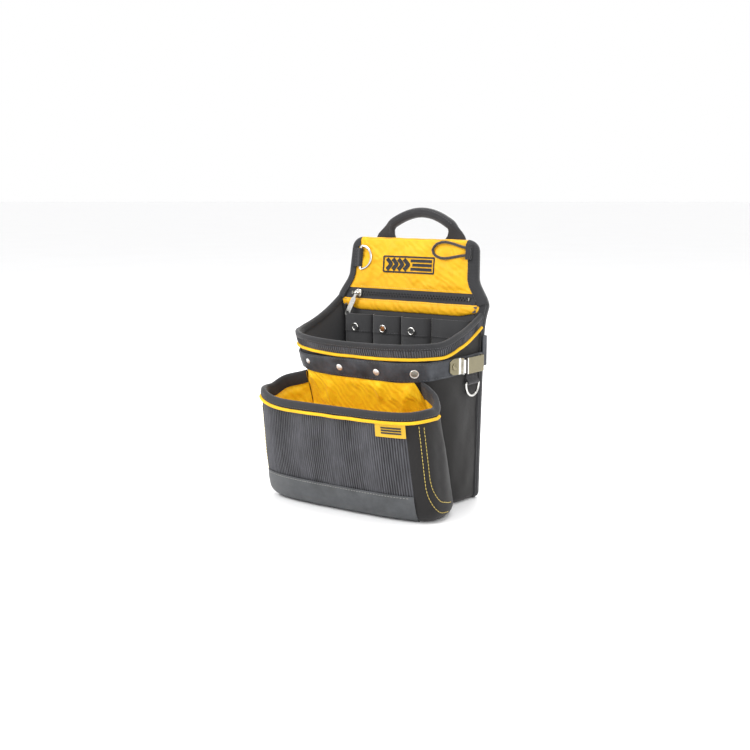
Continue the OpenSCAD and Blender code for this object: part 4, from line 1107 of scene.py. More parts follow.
def outline_path(z0, top_x, m, foot=False):
    """Points (x, z) and outward directions along the right edge, from z0 to x = top_x."""
    if foot:
        rows = np.concatenate([FOOT_R - (FOOT_R - m) * np.cos(np.radians(np.arange(2, 90, 8))),
                               np.arange(FOOT_R + 1, z0, 3.0), [z0]])
        pts = np.column_stack([panel_edge(rows, m), rows])
        bottom = np.arange(0, panel_edge(np.float64(FOOT_R), m) - FOOT_R + m - 1, 4.0)
        pts = np.concatenate([np.column_stack([bottom, 0 * bottom + m]), pts])
    else:
        rows = np.concatenate([np.arange(z0, CORNER_Z, 2.5),
                               CORNER_Z + (CORNER_R - m) * np.sin(np.radians(
                                   np.arange(0, 86, 6)))])
        pts = np.column_stack([panel_edge(rows, m), rows])
        top = np.arange(pts[-1, 0] - 1, top_x, -1.5)
        pts = np.concatenate([pts, np.column_stack([top, 0 * top + PANEL_TOP - m])])
    d = unit(np.gradient(pts, axis=0))
    return pts, np.column_stack([d[:, 1], -d[:, 0]])


def edge_tape(pts, out, y0, y1, mirror, seed):
    """A tape folded round the panel's edge, from y0 in front to y1 behind."""
    y, reach = binding_section(y1, y0, 11, 0.9, puff=0.15).T[:, None, :]
    run = distances(pts)
    depth = reach * (1 + 0.03 * waves(run, 0 * run, 24, seed)[:, None])
    xz = pts[:, None, :] + out[:, None, :] * depth[:, :, None]
    lump = 0.18 * waves(run[:, None] + 0 * depth, depth * 2, 12, seed + 1)
    y = y + lump * np.where(y > (y0 + y1) / 2, 0.4, -0.4)
    return part(panel_at(mirror * xz[:, :, 0], xz[:, :, 1], y))


def edge_stitches(pts, out, y, inset, mirror, toward):
    x, z = (pts - out * inset).T
    return panel_stitches(np.stack([mirror * x, y + 0 * x, z], -1), toward)


def bindings():
    front, back = -1.2 - GAP, PANEL_T + 0.1
    pts, out = outline_path(EAR_Z + 4, 74.0, -1.0)
    parts, threads = [], []
    for side in (1, -1):
        parts.append(edge_tape(pts, out, front - 1, back + 1, side, 40 + side))
        threads.append(edge_stitches(pts[2:-2], out[2:-2], front - 1.2, 10, side, -1))
        threads.append(edge_stitches(pts[2:-2], out[2:-2], back + 1.1, 10, side, 1))
    piece("panel_binding", parts, BINDING, ["panel_binding"])

    pts, out = outline_path(EAR_Z + 3.5, 0, -0.5, foot=True)
    pts[:, 1] = np.maximum(pts[:, 1], 0.02)
    pts, out = (np.concatenate([p[::-1] * (-1, 1), p[1:]]) for p in (pts, out))
    piece("seam_binding", [edge_tape(pts, out, -1, back + 1, 1, 47)], BINDING,
          ["seam_binding"])
    for inset in (10, 7.5):
        threads.append(edge_stitches(pts, out, back + 1.1, inset, 1, 1))
    piece("binding_stitches", threads, BLACK_THREAD)


back_pad()
bindings()

# ------------------------------------------------------------------ inner tool sleeves

SLEEVE_SEAMS = (-88.0, -47.5, -7.0, 33.5)
SLEEVE_TOP, SLEEVE_FOOT, HEM_TOP = 198.0, 70.0, 205.5
SLEEVE_D, SLEEVE_STEPS = 13.0, 26
EYELET_Z = 190.0


def sleeve_path(thick):
    """Plan of the sleeves' sheet, from the left: three bulges and one flatter pocket."""
    pts, local = [], []
    for s in range(4):
        x0 = SLEEVE_SEAMS[s]
        w, d = (SLEEVE_SEAMS[s + 1] - x0, SLEEVE_D) if s < 3 else (52.0, 7.0)
        for q in np.linspace(0, 1, SLEEVE_STEPS):
            p = math.pi * (1 - q)
            bulge = (d - thick) * math.sin(p) ** 0.7 if 0 < q < 1 else 0
            pts.append((x0 + w / 2 + (w - thick) / 2 * math.cos(p), BACK_Y - 0.2 - bulge))
            local.append(q)
    return np.array(pts), np.array(local)


def tool_sleeves():
    outer, q = sleeve_path(0)
    inner, _ = sleeve_path(1.25)
    run = distances(outer)

    def sheet(z, push):
        """push is how far the sheet stands out in front of its plan."""
        free = np.sin(np.pi * q)[:, None]
        wave = 0.9 * waves(run[:, None] + 0 * z, z * 0.5, 30, 31) * free
        slump = 1.2 * free * ((z - SLEEVE_FOOT) / 130) ** 2 - 0.6
        shift = np.clip(wave + slump, -1.2, 2.2) * free
        return grid_sheet(*(np.stack(np.broadcast_arrays(p[:, :1], p[:, 1:] - out + shift, z), -1)
                            for p, out in ((outer, push), (inner, 0))))

    for name, z0, z1, rows, push, node in (
            ("tool_sleeves", SLEEVE_FOOT, SLEEVE_TOP, 34, 0, "inner_sleeves"),
            ("sleeve_hem", SLEEVE_TOP - 14, HEM_TOP, 8, 0.5, "sleeve_hem")):
        piece(name, [sheet(np.linspace(z0, z1, rows)[None, :], push)], LINING,
              [node])

    rings, centres, thread = [], [], []
    turn = np.radians(np.arange(0, 360, 12))
    for left, right in zip(SLEEVE_SEAMS, SLEEVE_SEAMS[1:]):
        at = np.array(((left + right) / 2, BACK_Y - 0.2 - SLEEVE_D - 1.5, EYELET_Z))
        circle = at + 3.9 * np.column_stack([np.cos(turn), 0 * turn, np.sin(turn)])
        rings.append(tube(circle, 1.0, 10, True, 0.6, (0, 1, 0)))
        centres.append(cap_points(at, (0, -1, 0), dome(3.1, 0.3, 0.1)))
    piece("eyelet_rings", rings, NICKEL_PLATE, ["sleeve_eyelets"])
    piece("eyelet_centres", centres[1:2], COPPER, ["eyelet_washers"])
    piece("eyelet_backs", centres[::2], LINING)

    y = BACK_Y - 1.6
    for x in SLEEVE_SEAMS[:3]:
        thread.append(stitch_row([(x + 0.4, y, 78), (x + 0.4, y, 200)], (0, -1, 0)))
    x = SLEEVE_SEAMS[3]
    pale = stitch_row([(x, y, 75), (x, y, HEM_TOP)], (0, -1, 0), pitch=3.0, length=2.5,
                      radius=0.4, lift=0.4)
    for s in range(4):
        sel = (q > 0.06) & (q < 0.94) & (np.arange(len(q)) // SLEEVE_STEPS == s)
        p = np.column_stack([outer[sel] - (0, 1.1), np.full(sel.sum(), SLEEVE_TOP - 12.5)])
        thread.append(stitch_row(p, (0, -1, 0)))
    piece("sleeve_stitches", thread, BLACK_THREAD)
    piece("sleeve_seam", [pale], PALE_THREAD)


tool_sleeves()

# ------------------------------------------------------------------ riveted strap

RIVET_PITCH, RIVET_SHIFT, RIVET_R = 47.0, 3.0, 4.2
STRAP_T = 2.0
TAIL_Z = STRAP_Z + SIDE_LIFT + 4                      # foot of the strap's tails
FRONT_RIVETS = [i * RIVET_PITCH + RIVET_SHIFT for i in (-1.5, -0.5, 0.5, 1.5)]
A_STRAP, U_STRAP = even(main_at, 0, 180, 1.5, STRAP_Z + 10)


def strap_z(a):
    """Height of the strap's lower edge, which dips across the front."""
    dip = np.interp(a, (0, 32, 55, 80, 112, 138, 180), (0, 0.5, -2.6, -3.8, -2.2, 1.6, 1.5))
    return STRAP_Z + SIDE_LIFT * np.abs(np.cos(np.radians(a))) ** 12 + dip


def strap_w(a):
    """The strap is a little wider across the front."""
    return STRAP_W + 3.4 * np.exp(-((a - 76) / 32) ** 2)


def strap_off(a):
    return GAP + 3.4 * np.abs(np.cos(np.radians(a))) ** 60


RIVET_U = [float(np.interp(main_angle(x, STRAP_Z + 10), A_STRAP, U_STRAP)) for x in FRONT_RIVETS]


def strap_bulge(u):
    """How far the strap stands off between its rivets, with a pleat near the right corner."""
    knots = sorted([0.0] + RIVET_U + [U_STRAP[-1]])
    total = 0 * u
    for i, (a, b) in enumerate(zip(knots, knots[1:])):
        t = np.clip((u - a) / (b - a), 0, 1)
        height = 1.1 if 0 < i < len(knots) - 2 else 0.9
        total = total + height * np.sin(np.pi * t) ** 2 * ((u >= a) & (u < b))
    pleat = min(RIVET_U) - 15
    total = total + 1.9 * np.exp(-((u - pleat) / 3.2) ** 2)
    corner = max(RIVET_U) + 14
    return (total - 0.7 * np.exp(-((u - pleat + 7) / 3.0) ** 2)
            + 2.2 * np.exp(-((u - corner) / 16) ** 2))


def strap():
    a, u = A_STRAP, U_STRAP
    v = np.linspace(0, 1, 13)
    bulge = np.maximum(0, strap_bulge(u))[:, None]
    crown = (1 - np.abs(2 * v - 1) ** 2.5)[None, :]
    pinch = 0.1 * bulge
    z = (strap_z(a)[:, None] + 0.35 * waves(u, 0 * u, 45, 14)[:, None]
         + pinch + v[None, :] * (strap_w(a)[:, None] - 2 * pinch))
    base = strap_off(a)[:, None]
    soft = 0.22 * waves(u[:, None] + 0 * v, v[None, :] * 18 + 0 * u[:, None], 11, 15)
    out = base + STRAP_T + bulge * (0.35 + 0.65 * crown) + soft * crown
    out[:, [0, -1]] -= 0.5
    outer = main_at(a[:, None], z, out)
    inner = main_at(a[:, None], z, base + bulge * (0.3 + 0.4 * crown))
    piece("strap", [grid_sheet(outer, inner)], COATED, ["rivet_strap"])

    keep = (a > 4) & (a < 176)
    a, u = a[keep], u[keep]
    off = strap_off(a) + STRAP_T + np.maximum(0, strap_bulge(u)) * 0.62 + 0.05
    rows = [stitch_row(*on_surface(main_at, a, strap_z(a) + strap_w(a) * share, off), pitch=3.6)
            for share in (0.09, 0.91)]
    piece("strap_stitches", rows, BLACK_THREAD)

    caps = []
    for x, aside, up in zip(FRONT_RIVETS, (0, 0, 3.0, 0), (2.2, 0.8, 0, 0)):
        a0 = main_angle(x + aside, STRAP_Z + STRAP_W / 2)
        z0 = float(strap_z(a0)) + STRAP_W / 2 + up
        p, n = (np.array(v)[0] for v in on_surface(main_at, np.array([a0]), z0,
                                                   strap_off(a0) + STRAP_T + 0.1))
        q = main_at(a0, z0 + 2.0, 0.0) - main_at(a0, z0 - 2.0, 0.0)
        n = n - (n @ q) / (q @ q) * q
        caps.append(cap_points(p, n, dome(RIVET_R - 0.2, 1.3)))
    # the last one is hollow
    caps[-1] = cap_points(p, n, [(4.9, 0), (5.0, 0.5), (4.7, 0.9), (4.1, 0.8), (3.9, 0.3)])
    y = BACK_Y + PANEL_T + 2.95
    for side in (-1, 1):
        for up in (8.0, 26.0):
            at = (side * (main_w(STRAP_Z) - 12), y, TAIL_Z + up)
            caps.append(cap_points(at, (0, 1, 0), dome(3.6, 1.7)))
    piece("strap_rivets", caps, SATIN_NICKEL, ["strap_rivets"])
    piece("strap_rivet_dark", [cap_points(p, n, dome(3.9, 0.9))], DARK_METAL)


def strap_ends():
    """The strap's tails, folded round the bound edges and sewn on the back."""
    z0, h, t = TAIL_Z, 34.0, 1.6
    x0 = main_w(z0 + h) + SEAM_W + 1 + 0.2
    y1 = BACK_Y + PANEL_T + 1 + 0.3
    parts, threads = [], []
    for s in (-1, 1):
        side, end = s * (x0 + t / 2), s * (x0 - 24)
        path = smooth_path([(side, BACK_Y + 0.2, z0 + h / 2), (side, y1 + t / 2, z0 + h / 2),
                            (end, y1 + t / 2, z0 + h / 2)], 2.5, gap=2.0)
        parts.append(ribbon(path, (0, 0, 1), h, t))
        box = [(s * (x0 - dx), y1 + t + 0.05, z0 + dz)
               for dx, dz in ((3, 3), (21.5, 3), (21.5, h - 3), (3, h - 3))]
        threads.append(stitch_row(box, (0, 1, 0)))
    piece("strap_tails", parts, COATED, ["strap_tails"])
    piece("strap_tail_stitches", threads, BLACK_THREAD)


strap()
strap_ends()

# ------------------------------------------------------------------ front pocket

CORNER_A, CORNER_L = 40.0, 152.0         # where the ribbed front meets the gussets
KICK_SLOPE, KICK_T = 1.2, 0.9
PIPING_Z = POCKET_BINDING_H + PIPING_R + 0.3


def pocket_relief(u, z):
    return (0.8 * waves(u, z * 0.5, 55, 62) - 0.32) * band(z, KICK_Z - 16, 116, 14)


def kick_top(a):
    return KICK_Z + KICK_SLOPE * (a - 90) / 66


def pocket_walls():
    a, u = even(pocket_at, CORNER_A, CORNER_L, 0.6, 80.0)
    top = pocket_rim_at(a) - TAPE_T - GAP
    z = wall_rows(POCKET_EDGE_R + 0 * a, top, 44)[1]
    twist = 0.4 * waves(u[:, None] + 0 * z, z, 90, 61)
    rib = np.cos(2 * math.pi * (u[:, None] + twist) / RIB_PITCH)
    ribs = (RIB_H * rib - 0.45) * band(z, 3, 116, 4)
    loops = wall(pocket_at, a, u, POCKET_EDGE_R, top, 44, 0, WALL_T, pocket_relief, ribs)
    piece("pocket_front", [part(loops)], RIBBED, ["pocket_front"], smooth=60)

    threads = []
    for name, a0, a1, seed in (("right", -REAR_A, CORNER_A, 75),
                               ("left", CORNER_L, 180 + REAR_A, 74)):
        a, u = even(pocket_at, a0, a1, 2.0, 80.0)

        def gusset(u, z):
            fold = 0.7 * waves(u * 1.3, z * 0.5, 34, seed) + 0.2 * waves(u, z, 14, seed + 1)
            return (fold - 0.4) * band(z, 8, 118, 14)
        loops = wall(pocket_at, a, u, POCKET_EDGE_R, pocket_rim_at(a) - TAPE_T - GAP, 44, 0,
                     WALL_T, gusset)
        piece("gusset_" + name, [part(loops)], CORDURA,
              ["pocket_gusset_" + name])
        # two rows of stitches run down each gusset and bend back along its foot
        bend = np.linspace(0, math.pi / 2, 26)
        for edge, foot in ((24.0, 9.0), (16.5, 18.0)):
            z = np.concatenate([np.linspace(110, foot + 35, 36), foot + 34 * (1 - np.sin(bend))])
            aa = np.concatenate([np.full(36, edge), edge - 30 * (1 - np.cos(bend))])
            drop = POCKET_EDGE_R - np.minimum(z, POCKET_EDGE_R)
            off = np.sqrt(POCKET_EDGE_R ** 2 - drop ** 2) - POCKET_EDGE_R
            aa = aa if name == "right" else 180 - aa
            off = off + gusset(np.interp(aa, a, u), z) + 0.15
            threads.append(stitch_row(*on_surface(pocket_at, aa, z, off), pitch=4.0, length=3.3,
                                      radius=0.34))
    piece("gusset_stitches", threads, YELLOW_THREAD)


A_POCKET, U_POCKET = even(pocket_at, -REAR_A, 180 + REAR_A, 2.5, 80.0)


def inner_reach(a):
    """How much wider the binding's inner leg is on the gussets."""
    return 1 + ease((26 - a) / 30) + 0.7 * ease((a - 156) / 30)


def pocket_lining():
    a, u = A_POCKET, U_POCKET
    folds = crumple(float(u[-1]), 130, step=3.6, grow=0.05, seed=8, cap=2.4)
    top = pocket_rim_at(a) - TAPE_T - GAP
    under = pocket_rim_at(a) - POCKET_BINDING_H * inner_reach(a)

    def relief(u, z):
        free = band(z, 4, 150, 12) * ease((under[:, None] + 1 - z) / 9)
        return (np.minimum(1.1, folds(u, np.minimum(z, 128))) - 1.2) * free
    loops = wall(pocket_at, a, u, POCKET_EDGE_R, top, 44, -WALL_T - LAYER_GAP, LINING_T, relief)
    piece("pocket_lining", [part(loops)], YELLOW_LINING, ["pocket_lining"])

    a, u = even(main_at, 51, 130.5, 1.6, 130.0)
    brow = strap_z(a)[:, None] - 25 * (ease((63 - a) / 14) + ease((a - 124) / 10))[:, None]
    z = POCKET_EDGE_R + 2 + np.linspace(0, 1, 56)[None, :] * (brow - POCKET_EDGE_R)
    span = float(u[-1])
    sag = crumple(span, 150, step=3.4, grow=0.06, seed=18, cap=2.6)
    end = np.minimum(u, span - u)[:, None]
    u = u[:, None]
    ray = np.cos(2 * math.pi * (u - span / 2) * (1 + 0.25 * (STRAP_Z - z) / 40) / 17
                 + 1.4 * waves(u, 0 * z, 60, 19))
    pleats = ease((z - 104) / 30) * (0.9 * ray + 0.5)
    sweep = 5 * (1 - ease(end / 17)) ** 2 * ease((110 - z) / 18)
    slack = np.maximum(-0.8, 0.8 * sag(u, z) + pleats) * ease(end / 8)
    out = 1.2 + ease((brow + 0.5 - z) / 9) * (1.0 + sweep + slack)
    piece("pocket_back_lining", [part(cloth(main_at, a, z, out, LINING_T))], YELLOW_LINING,
          ["pocket_back_lining"])


def pocket_floor():
    p = pocket_at(A_POCKET, 0 * A_POCKET, -POCKET_EDGE_R - GAP)
    front = np.column_stack([p[:, 0], np.minimum(p[:, 1], main_face_y(p[:, 0], 0.0) - 1)])
    x = np.arange(-66, 67, 6.0)
    plan = np.concatenate([front, np.column_stack([x, main_face_y(x, 0 * x) - 1])])
    piece("pocket_base", [floor_sheet(plan, 0, WALL_T)], CORDURA,
          ["pocket_base"])
    sheet = floor_sheet(plan, WALL_T + 0.2, WALL_T + 1.1,
                        lambda x, y: 0.8 + 0.8 * waves(x, y, 30, 24))
    piece("pocket_floor_lining", [sheet], YELLOW_LINING,
          ["pocket_floor_lining"])


def pocket_trim():
    a, u = A_POCKET, U_POCKET
    x_out, x_in = GAP + TAPE_T, INNER - GAP - TAPE_T
    off, drop = binding_section(x_out, x_in, POCKET_BINDING_H, TAPE_T * 0.8, 0.5).T[:, None, :]
    turn = ease((CORNER_A - np.minimum(a, 180 - a)) / 24)[:, None]
    lump = waves(u[:, None] + 0 * off, off * 2.2, 15, 26)
    face = np.sign(off - (x_out + x_in) / 2)
    reach = np.where(face < 0, inner_reach(a)[:, None], 1.0)
    wander = 0.5 * waves(u, 0 * u, 30, 27)[:, None] * (drop < -6)
    z = pocket_rim_at(a)[:, None] + drop * reach + wander
    off = off + face * (0.16 * lump + turn * (0.5 + 0.55 * lump))
    piece("pocket_binding", [part(pocket_at(a[:, None], z, off))], BINDING,
          ["pocket_binding"])
    rows = [stitch_row(*on_surface(pocket_at, a, pocket_rim_at(a) - POCKET_BINDING_H + 1.6,
                                   x_out + 0.25))]
    keep = (a >= -7) & (a <= 187)
    a, u = a[keep], u[keep]
    z = pocket_rim_at(a) - PIPING_Z + 0.3 * waves(u, 0 * u, 36, 28)
    cord = tube(pocket_at(a, z, GAP + PIPING_R), PIPING_R * (1 + 0.04 * waves(u, 0 * u, 13, 29)))
    piece("pocket_piping", [cord], YELLOW_PIPING, ["pocket_piping"])
    piece("pocket_stitches", rows, BLACK_THREAD)


def kick_band():
    a, u = even(pocket_at, CORNER_A + 0.5, CORNER_L - 0.5, 2.0, 30.0)

    def relief(u, z):
        return (0.35 + 0.35 * waves(u + 0 * z, z * 1.5, 40, 33)) * band(z, 2, 31, 5)
    loops = wall(pocket_at, a, u, POCKET_EDGE_R, kick_top(a), 9, GAP + KICK_T, KICK_T, relief,
                 arc=9, start=72)
    piece("kick_band", [part(loops)], COATED_GREY, ["kick_band"])
    a = a[(a > CORNER_A + 3) & (a < CORNER_L - 3)]
    rows = [stitch_row(*on_surface(pocket_at, a, kick_top(a) - 2.2, GAP + KICK_T + 0.15),
                       pitch=3.6, length=2.6)]
    piece("kick_stitches", rows, PALE_THREAD)


def blank_tag():
    """A folded tag with three plain bars."""
    a, h = np.linspace(40.5, 67.5, 20), 14.5
    top = POCKET_RIM_Z - PIPING_Z - PIPING_R + 0.6
    z = np.linspace(top - h, top, 9)[None, :] + 0 * a[:, None]
    curl = (0.6 + 0.4 * np.cos(np.radians(a - 40) * 8))[:, None]
    lift = 0.25 + 1.2 * ((top - z) / h) ** 2 * curl
    piece("blank_tag", [part(cloth(pocket_at, a, z, GAP + 0.6 + lift, 0.5))], YELLOW_LABEL,
          ["tag_label"])
    bar = np.linspace(45, 63, 16)
    out = GAP + 0.95 + np.interp(bar, a, lift[:, 4])
    rows = [ribbon(pocket_at(bar, top - drop, out), (0, 0, 1), 1.7, 0.35)
            for drop in (4.4, 7.2, 10.0)]
    piece("tag_bars", rows, BADGE_THREAD)


pocket_walls()
pocket_lining()
pocket_floor()
pocket_trim()
kick_band()
blank_tag()

# ------------------------------------------------------------------ zipped pocket

ZIP_FOOT, ZIP_MID, ZIP_HALF = 224.0, 229.5, 80.0
YELLOW_FOOT, STRIP_FOOT = 236.0, 210.0
FRONT_Y = -1.2                                        # front of the sheet the cloth is sewn to
HEM_H = 14.0


def yellow_panel():
    """The puffed yellow cloth, over the panel's top and down its back. Returns its surface."""
    across = np.linspace(-1, 1, 90)[:, None]
    inset, least, step = 7.0, 73.7, 1.6
    rise = np.concatenate([np.arange(YELLOW_FOOT, CORNER_Z, step),
                           CORNER_Z + CORNER_R * np.sin(np.radians(np.arange(0, 80, 8)))])
    folds = crumple(170, 62, step=2.6, grow=0.05, seed=5, cap=1.6, pressure=0.6)
    half = np.maximum(panel_edge(np.minimum(rise, PANEL_TOP - inset - 0.1), inset), least)
    x = across * half[None, :]
    z = rise[None, :] + 0 * x
    edge = ease((half[None, :] - 4 - np.abs(x)) / 10) * ease((z - YELLOW_FOOT) / 7)
    puff = np.maximum(-0.1, folds(x + 85, z - YELLOW_FOOT + 1) + 0.4)
    sag = 0.9 * np.sin(np.pi * np.clip((z - YELLOW_FOOT) / 60, 0, 1)) * edge
    sewn = 1 - 0.75 * band(x + 2, -38, 38, 8) * band(z, 256, 275, 6)
    y = FRONT_Y - (puff * ease((PANEL_TOP - 2 - z) / 12) * sewn + sag) * edge
    # over the top edge and down the back
    mid_y, r = 4.0, 5.3
    turn = np.radians(np.arange(-82, 91, 12))[None, :]
    lap = np.linspace(0, HEM_H - 2, 7)[None, 1:]
    level = 0 * across
    ripple = 0.3 * waves(across * 74, 0 * turn, 26, 36)
    z_over = PANEL_TOP - 3.4 + (r - 0.6) * np.cos(turn) * 0.93 + ripple * np.cos(turn)
    ys = np.concatenate([y, mid_y + r * np.sin(turn) + level, mid_y + r + 0 * lap + level], 1)
    zs = np.concatenate([np.minimum(z, PANEL_TOP - 2.6), z_over, PANEL_TOP - 3.4 - lap + level],
                        1)
    xs = np.concatenate([x, across * least + 0 * turn, across * least + 0 * lap], 1)
    ny = np.concatenate([-1 + 0 * y, np.sin(turn) + level, 1 + 0 * lap + level], 1)
    nz = np.concatenate([0 * y, np.cos(turn) + level, 0 * lap + level], 1)
    front = panel_at(xs, zs, ys)
    back = panel_at(xs, zs - nz * 0.9, ys - ny * 0.9)
    piece("yellow_panel", [grid_sheet(front, back)], YELLOW_CLOTH,
          ["yellow_panel"], smooth=60)

    rows = []
    for y0, z0, out in ((mid_y + r + 0.1, PANEL_TOP - HEM_H - 0.6, 1),
                        (FRONT_Y - 0.1, YELLOW_FOOT + 2.0, -1)):
        p = np.array([(s, y0, z0) for s in np.linspace(-72, 72, 30)])
        rows.append(panel_stitches(p, out))
    piece("panel_stitches", rows, YELLOW_THREAD)

    def face(at_x, at_z):
        """How far in front of the panel the cloth is at one place."""
        i = int(np.clip(round((at_z - YELLOW_FOOT) / step), 0, len(rise) - 1))
        return float(np.interp(at_x, x[:, i], y[:, i]))
    return face


def zip_parts():
    parts = []
    x = np.linspace(-1, 1, 60)[:, None] * panel_edge(ZIP_MID, 11.6)
    for z0, z1 in ((ZIP_MID + 2.0, YELLOW_FOOT + 1.5), (ZIP_FOOT - 1.5, ZIP_MID - 2.0)):
        z = np.linspace(z0, z1, 5)[None, :] + 0 * x
        y = FRONT_Y + 0.3 + 0.25 * waves(x, z, 30, 37)
        parts.append(grid_sheet(panel_at(x, z, y), panel_at(x, z, y + 0.7)))
    piece("zip_tapes", parts, TAPE_CLOTH, ["zip_tape_upper", "zip_tape_lower"])

    teeth = []
    for i in range(80):
        x, up = -ZIP_HALF + i * 2.0, (0.5, 2.6) if i % 2 == 0 else (2.6, 0.5)
        teeth.append(brick((x, FRONT_Y - 0.9, ZIP_MID - up[0]), (x + 1.5, 0.8, ZIP_MID + up[1]),
                           0.3))
    piece("zip_teeth", moved(teeth, on_panel), TOOTH, ["zip_teeth"], smooth=30)
    stops = [brick((x, FRONT_Y - 0.9, ZIP_MID - 2.1), (x + 1.9, 0.8, ZIP_MID + 2.1), 0.4)
             for x in (-ZIP_HALF - 2.6, ZIP_HALF + 0.7)]
    piece("zip_stops", moved(stops, on_panel), DARK_METAL, ["zip_stops"])


def zip_strip():
    """Yellow strip under the zip: a stuffed fold with bar tacks at its ends."""
    x = np.linspace(-1, 1, 120)[:, None]
    v = np.linspace(0, 1, 15)[None, :]
    foot = STRIP_FOOT + 4.0 * ease((np.abs(x) - 0.72) / 0.28)
    z = foot + v * (ZIP_FOOT - 0.4 - foot)
    inset = 8.0
    xx = x * panel_edge(z, inset)
    ends = ease((1 - np.abs(x)) / 0.05)
    creases = 0.45 * waves(xx * 1.5, z * 0.35, 13, 38) + 0.3 * waves(xx, z, 34, 39)
    puff = np.sin(np.pi * v) ** 0.6 * (2.3 + creases) * (0.35 + 0.65 * ends)
    piece("zip_strip", [grid_sheet(panel_at(xx, z, -0.5 - puff), panel_at(xx, z, -0.2))],
          YELLOW_CLOTH, ["zip_strip"], smooth=60)
    tacks = []
    for s in (-1, 1):
        for i in range(9):
            z0 = STRIP_FOOT + 5.0 + i * 0.8
            edge = float(panel_edge(z0, inset))
            tacks.append(tube([(s * (edge - dx), y, z0)
                               for dx, y in ((6.5, -1.9), (4.5, -2.1), (2.5, -1.6))], 0.5, 6))
    piece("strip_tacks", moved(tacks, on_panel), BLACK_THREAD)
    p = np.array([(s, -1.6, ZIP_FOOT - 2.0) for s in np.linspace(-84, 84, 40)])
    piece("strip_stitches", [panel_stitches(p, -1, lift=0.9)], YELLOW_THREAD)


def badge(face):
    """A plain embroidered badge: a dark frame round chevrons and bars of satin stitch."""
    x0, x1, z0, z1 = -37.0, 33.0, 256.5, 274.5
    mid = (z0 + z1) / 2
    parts = []

    def satin(points, width):
        pts = smooth_path([(x, 0, z) for x, z in points], 0.8, 3, 0.8)
        across = np.cross(np.gradient(pts, axis=0), (0, 1, 0))
        pts[:, 1] = [face(x, z) - 0.35 for x, _, z in pts]
        parts.append(ribbon(pts, across, width, 0.9, crown=0.35))
    line = rounded([(x0, z0), (x1, z0), (x1, z1), (x0, z1)], 1.2)
    satin(line + line[:2], 1.9)
    for i in range(4):
        c = x0 + 4.4 + i * 8.0
        satin([(c, z0 + 2.6), (c + 6, mid), (c, z1 - 2.6)], 4.9)
    for i in (-1, 0, 1):
        satin([(x0 + 40 - 2.5 * abs(i), mid + i * 4.9), (x1 - 3.4, mid + i * 4.9)], 3.5)
    piece("badge", moved(parts, on_panel), BADGE_THREAD, ["badge_patch"],
          smooth=50)


panel_face = yellow_panel()
zip_parts()
zip_strip()
badge(panel_face)

# ------------------------------------------------------------------ zip slider and puller

SLIDER_X, SLIDER_L, SLIDER_W = -72.0, 9.5, 8.4
BRIDGE_Y = -7.2
PULLER_TILT, PULLER_L = 24.0, 30.0


def shift(x, y, z):
    return Matrix.Translation((x * MM, y * MM, z * MM))


PANEL = shift(0, BACK_Y, BEND_Z) @ Matrix.Rotation(-LEAN, 4, "X") @ shift(0, 0, -BEND_Z)
FLAT = Matrix.Rotation(math.radians(90), 4, "X")      # turns a plate to face along Y


def slider():
    y = FRONT_Y - 1.3
    at = np.array([SLIDER_X, 0, ZIP_MID])
    l2, w2 = SLIDER_L / 2, SLIDER_W / 2
    outline = rounded([(-l2, -w2 * 0.55), (-l2 + 3, -w2), (l2 - 1.5, -w2), (l2, -w2 * 0.8),
                       (l2, w2 * 0.8), (l2 - 1.5, w2), (-l2 + 3, w2), (-l2, w2 * 0.55)], 0.9)
    wing = plate("slider_wing", [outline], 1.5, 0.45)
    wing.data.transform(PANEL @ shift(SLIDER_X, y - 0.75, ZIP_MID) @ FLAT)
    parts = []
    for z in (0.55 - w2, w2 - 0.55):
        parts.append(brick(at + (-l2 + 2.2, y - 0.9, z - 0.5), at + (l2 - 0.6, y + 1.1, z + 0.5)))
    arch = [at + p for p in ((-l2 + 1.2, y - 1.2, 0), (-l2 + 1.2, BRIDGE_Y + 0.5, 0),
                             (-l2 + 2.0, BRIDGE_Y, 0), (l2 - 2.6, BRIDGE_Y, 0),
                             (l2 - 1.3, BRIDGE_Y + 0.6, 0), (l2 - 1.2, y - 1.2, 0))]
    parts.append(tube(smooth_path(arch, 1.4, 6, 1.0), 0.8, up=(0, 0.02, 1)))
    dress(wing, NICKEL_PLATE, "slider")
    piece("zip_slider", moved(parts, on_panel), NICKEL_PLATE, ["zip_slider"], "slider")


def puller():
    tip = -PULLER_L + 2.6
    left = [(-1.9, 0.4), (-1.6, -4.5), (-3.4, -7.5), (-3.5, tip + 5), (-4.0, tip + 1),
            (-2.6, tip - 3.2)]
    radii = [0.8, 2, 2, 4, 3, 2.6]
    body = rounded(left + [(-x, z) for x, z in left[::-1]], radii + radii[::-1])
    t = np.radians(np.arange(0, 360, 15))
    hole = np.column_stack([2.0 * np.cos(t), tip + 1 + 2.5 * np.sin(t)])[::-1]
    blade = plate("puller_blade", [body, hole], 1.2, 0.35)
    tilt = Matrix.Rotation(math.radians(PULLER_TILT), 4, "Y")
    blade.data.transform(PANEL @ shift(SLIDER_X, BRIDGE_Y, ZIP_MID) @ tilt
                         @ shift(0, 0.3, -1.4) @ FLAT)
    dress(blade, NICKEL_PLATE, "puller")
    eye = np.column_stack([SLIDER_X + 0 * t, BRIDGE_Y + 1.38 * np.cos(t),
                           ZIP_MID + 1.38 * np.sin(t)])
    knuckle = tube(eye, 0.5, 10, True, 2.6, (1, 0, 0))
    piece("zip_puller", moved([knuckle], on_panel), NICKEL_PLATE, ["zip_puller"],
          "puller")


slider()
puller()

# ------------------------------------------------------------------ rings, tabs and clip

RING_HALF = 25 / 2 + 1.2
RING_REACH, RING_WIRE = 17.0, 3.0
UPPER_RING = np.array([-71.0, -4.3, 272.0])
SIDE_RING_Z, SIDE_RING_Y = 140.0, 45.0


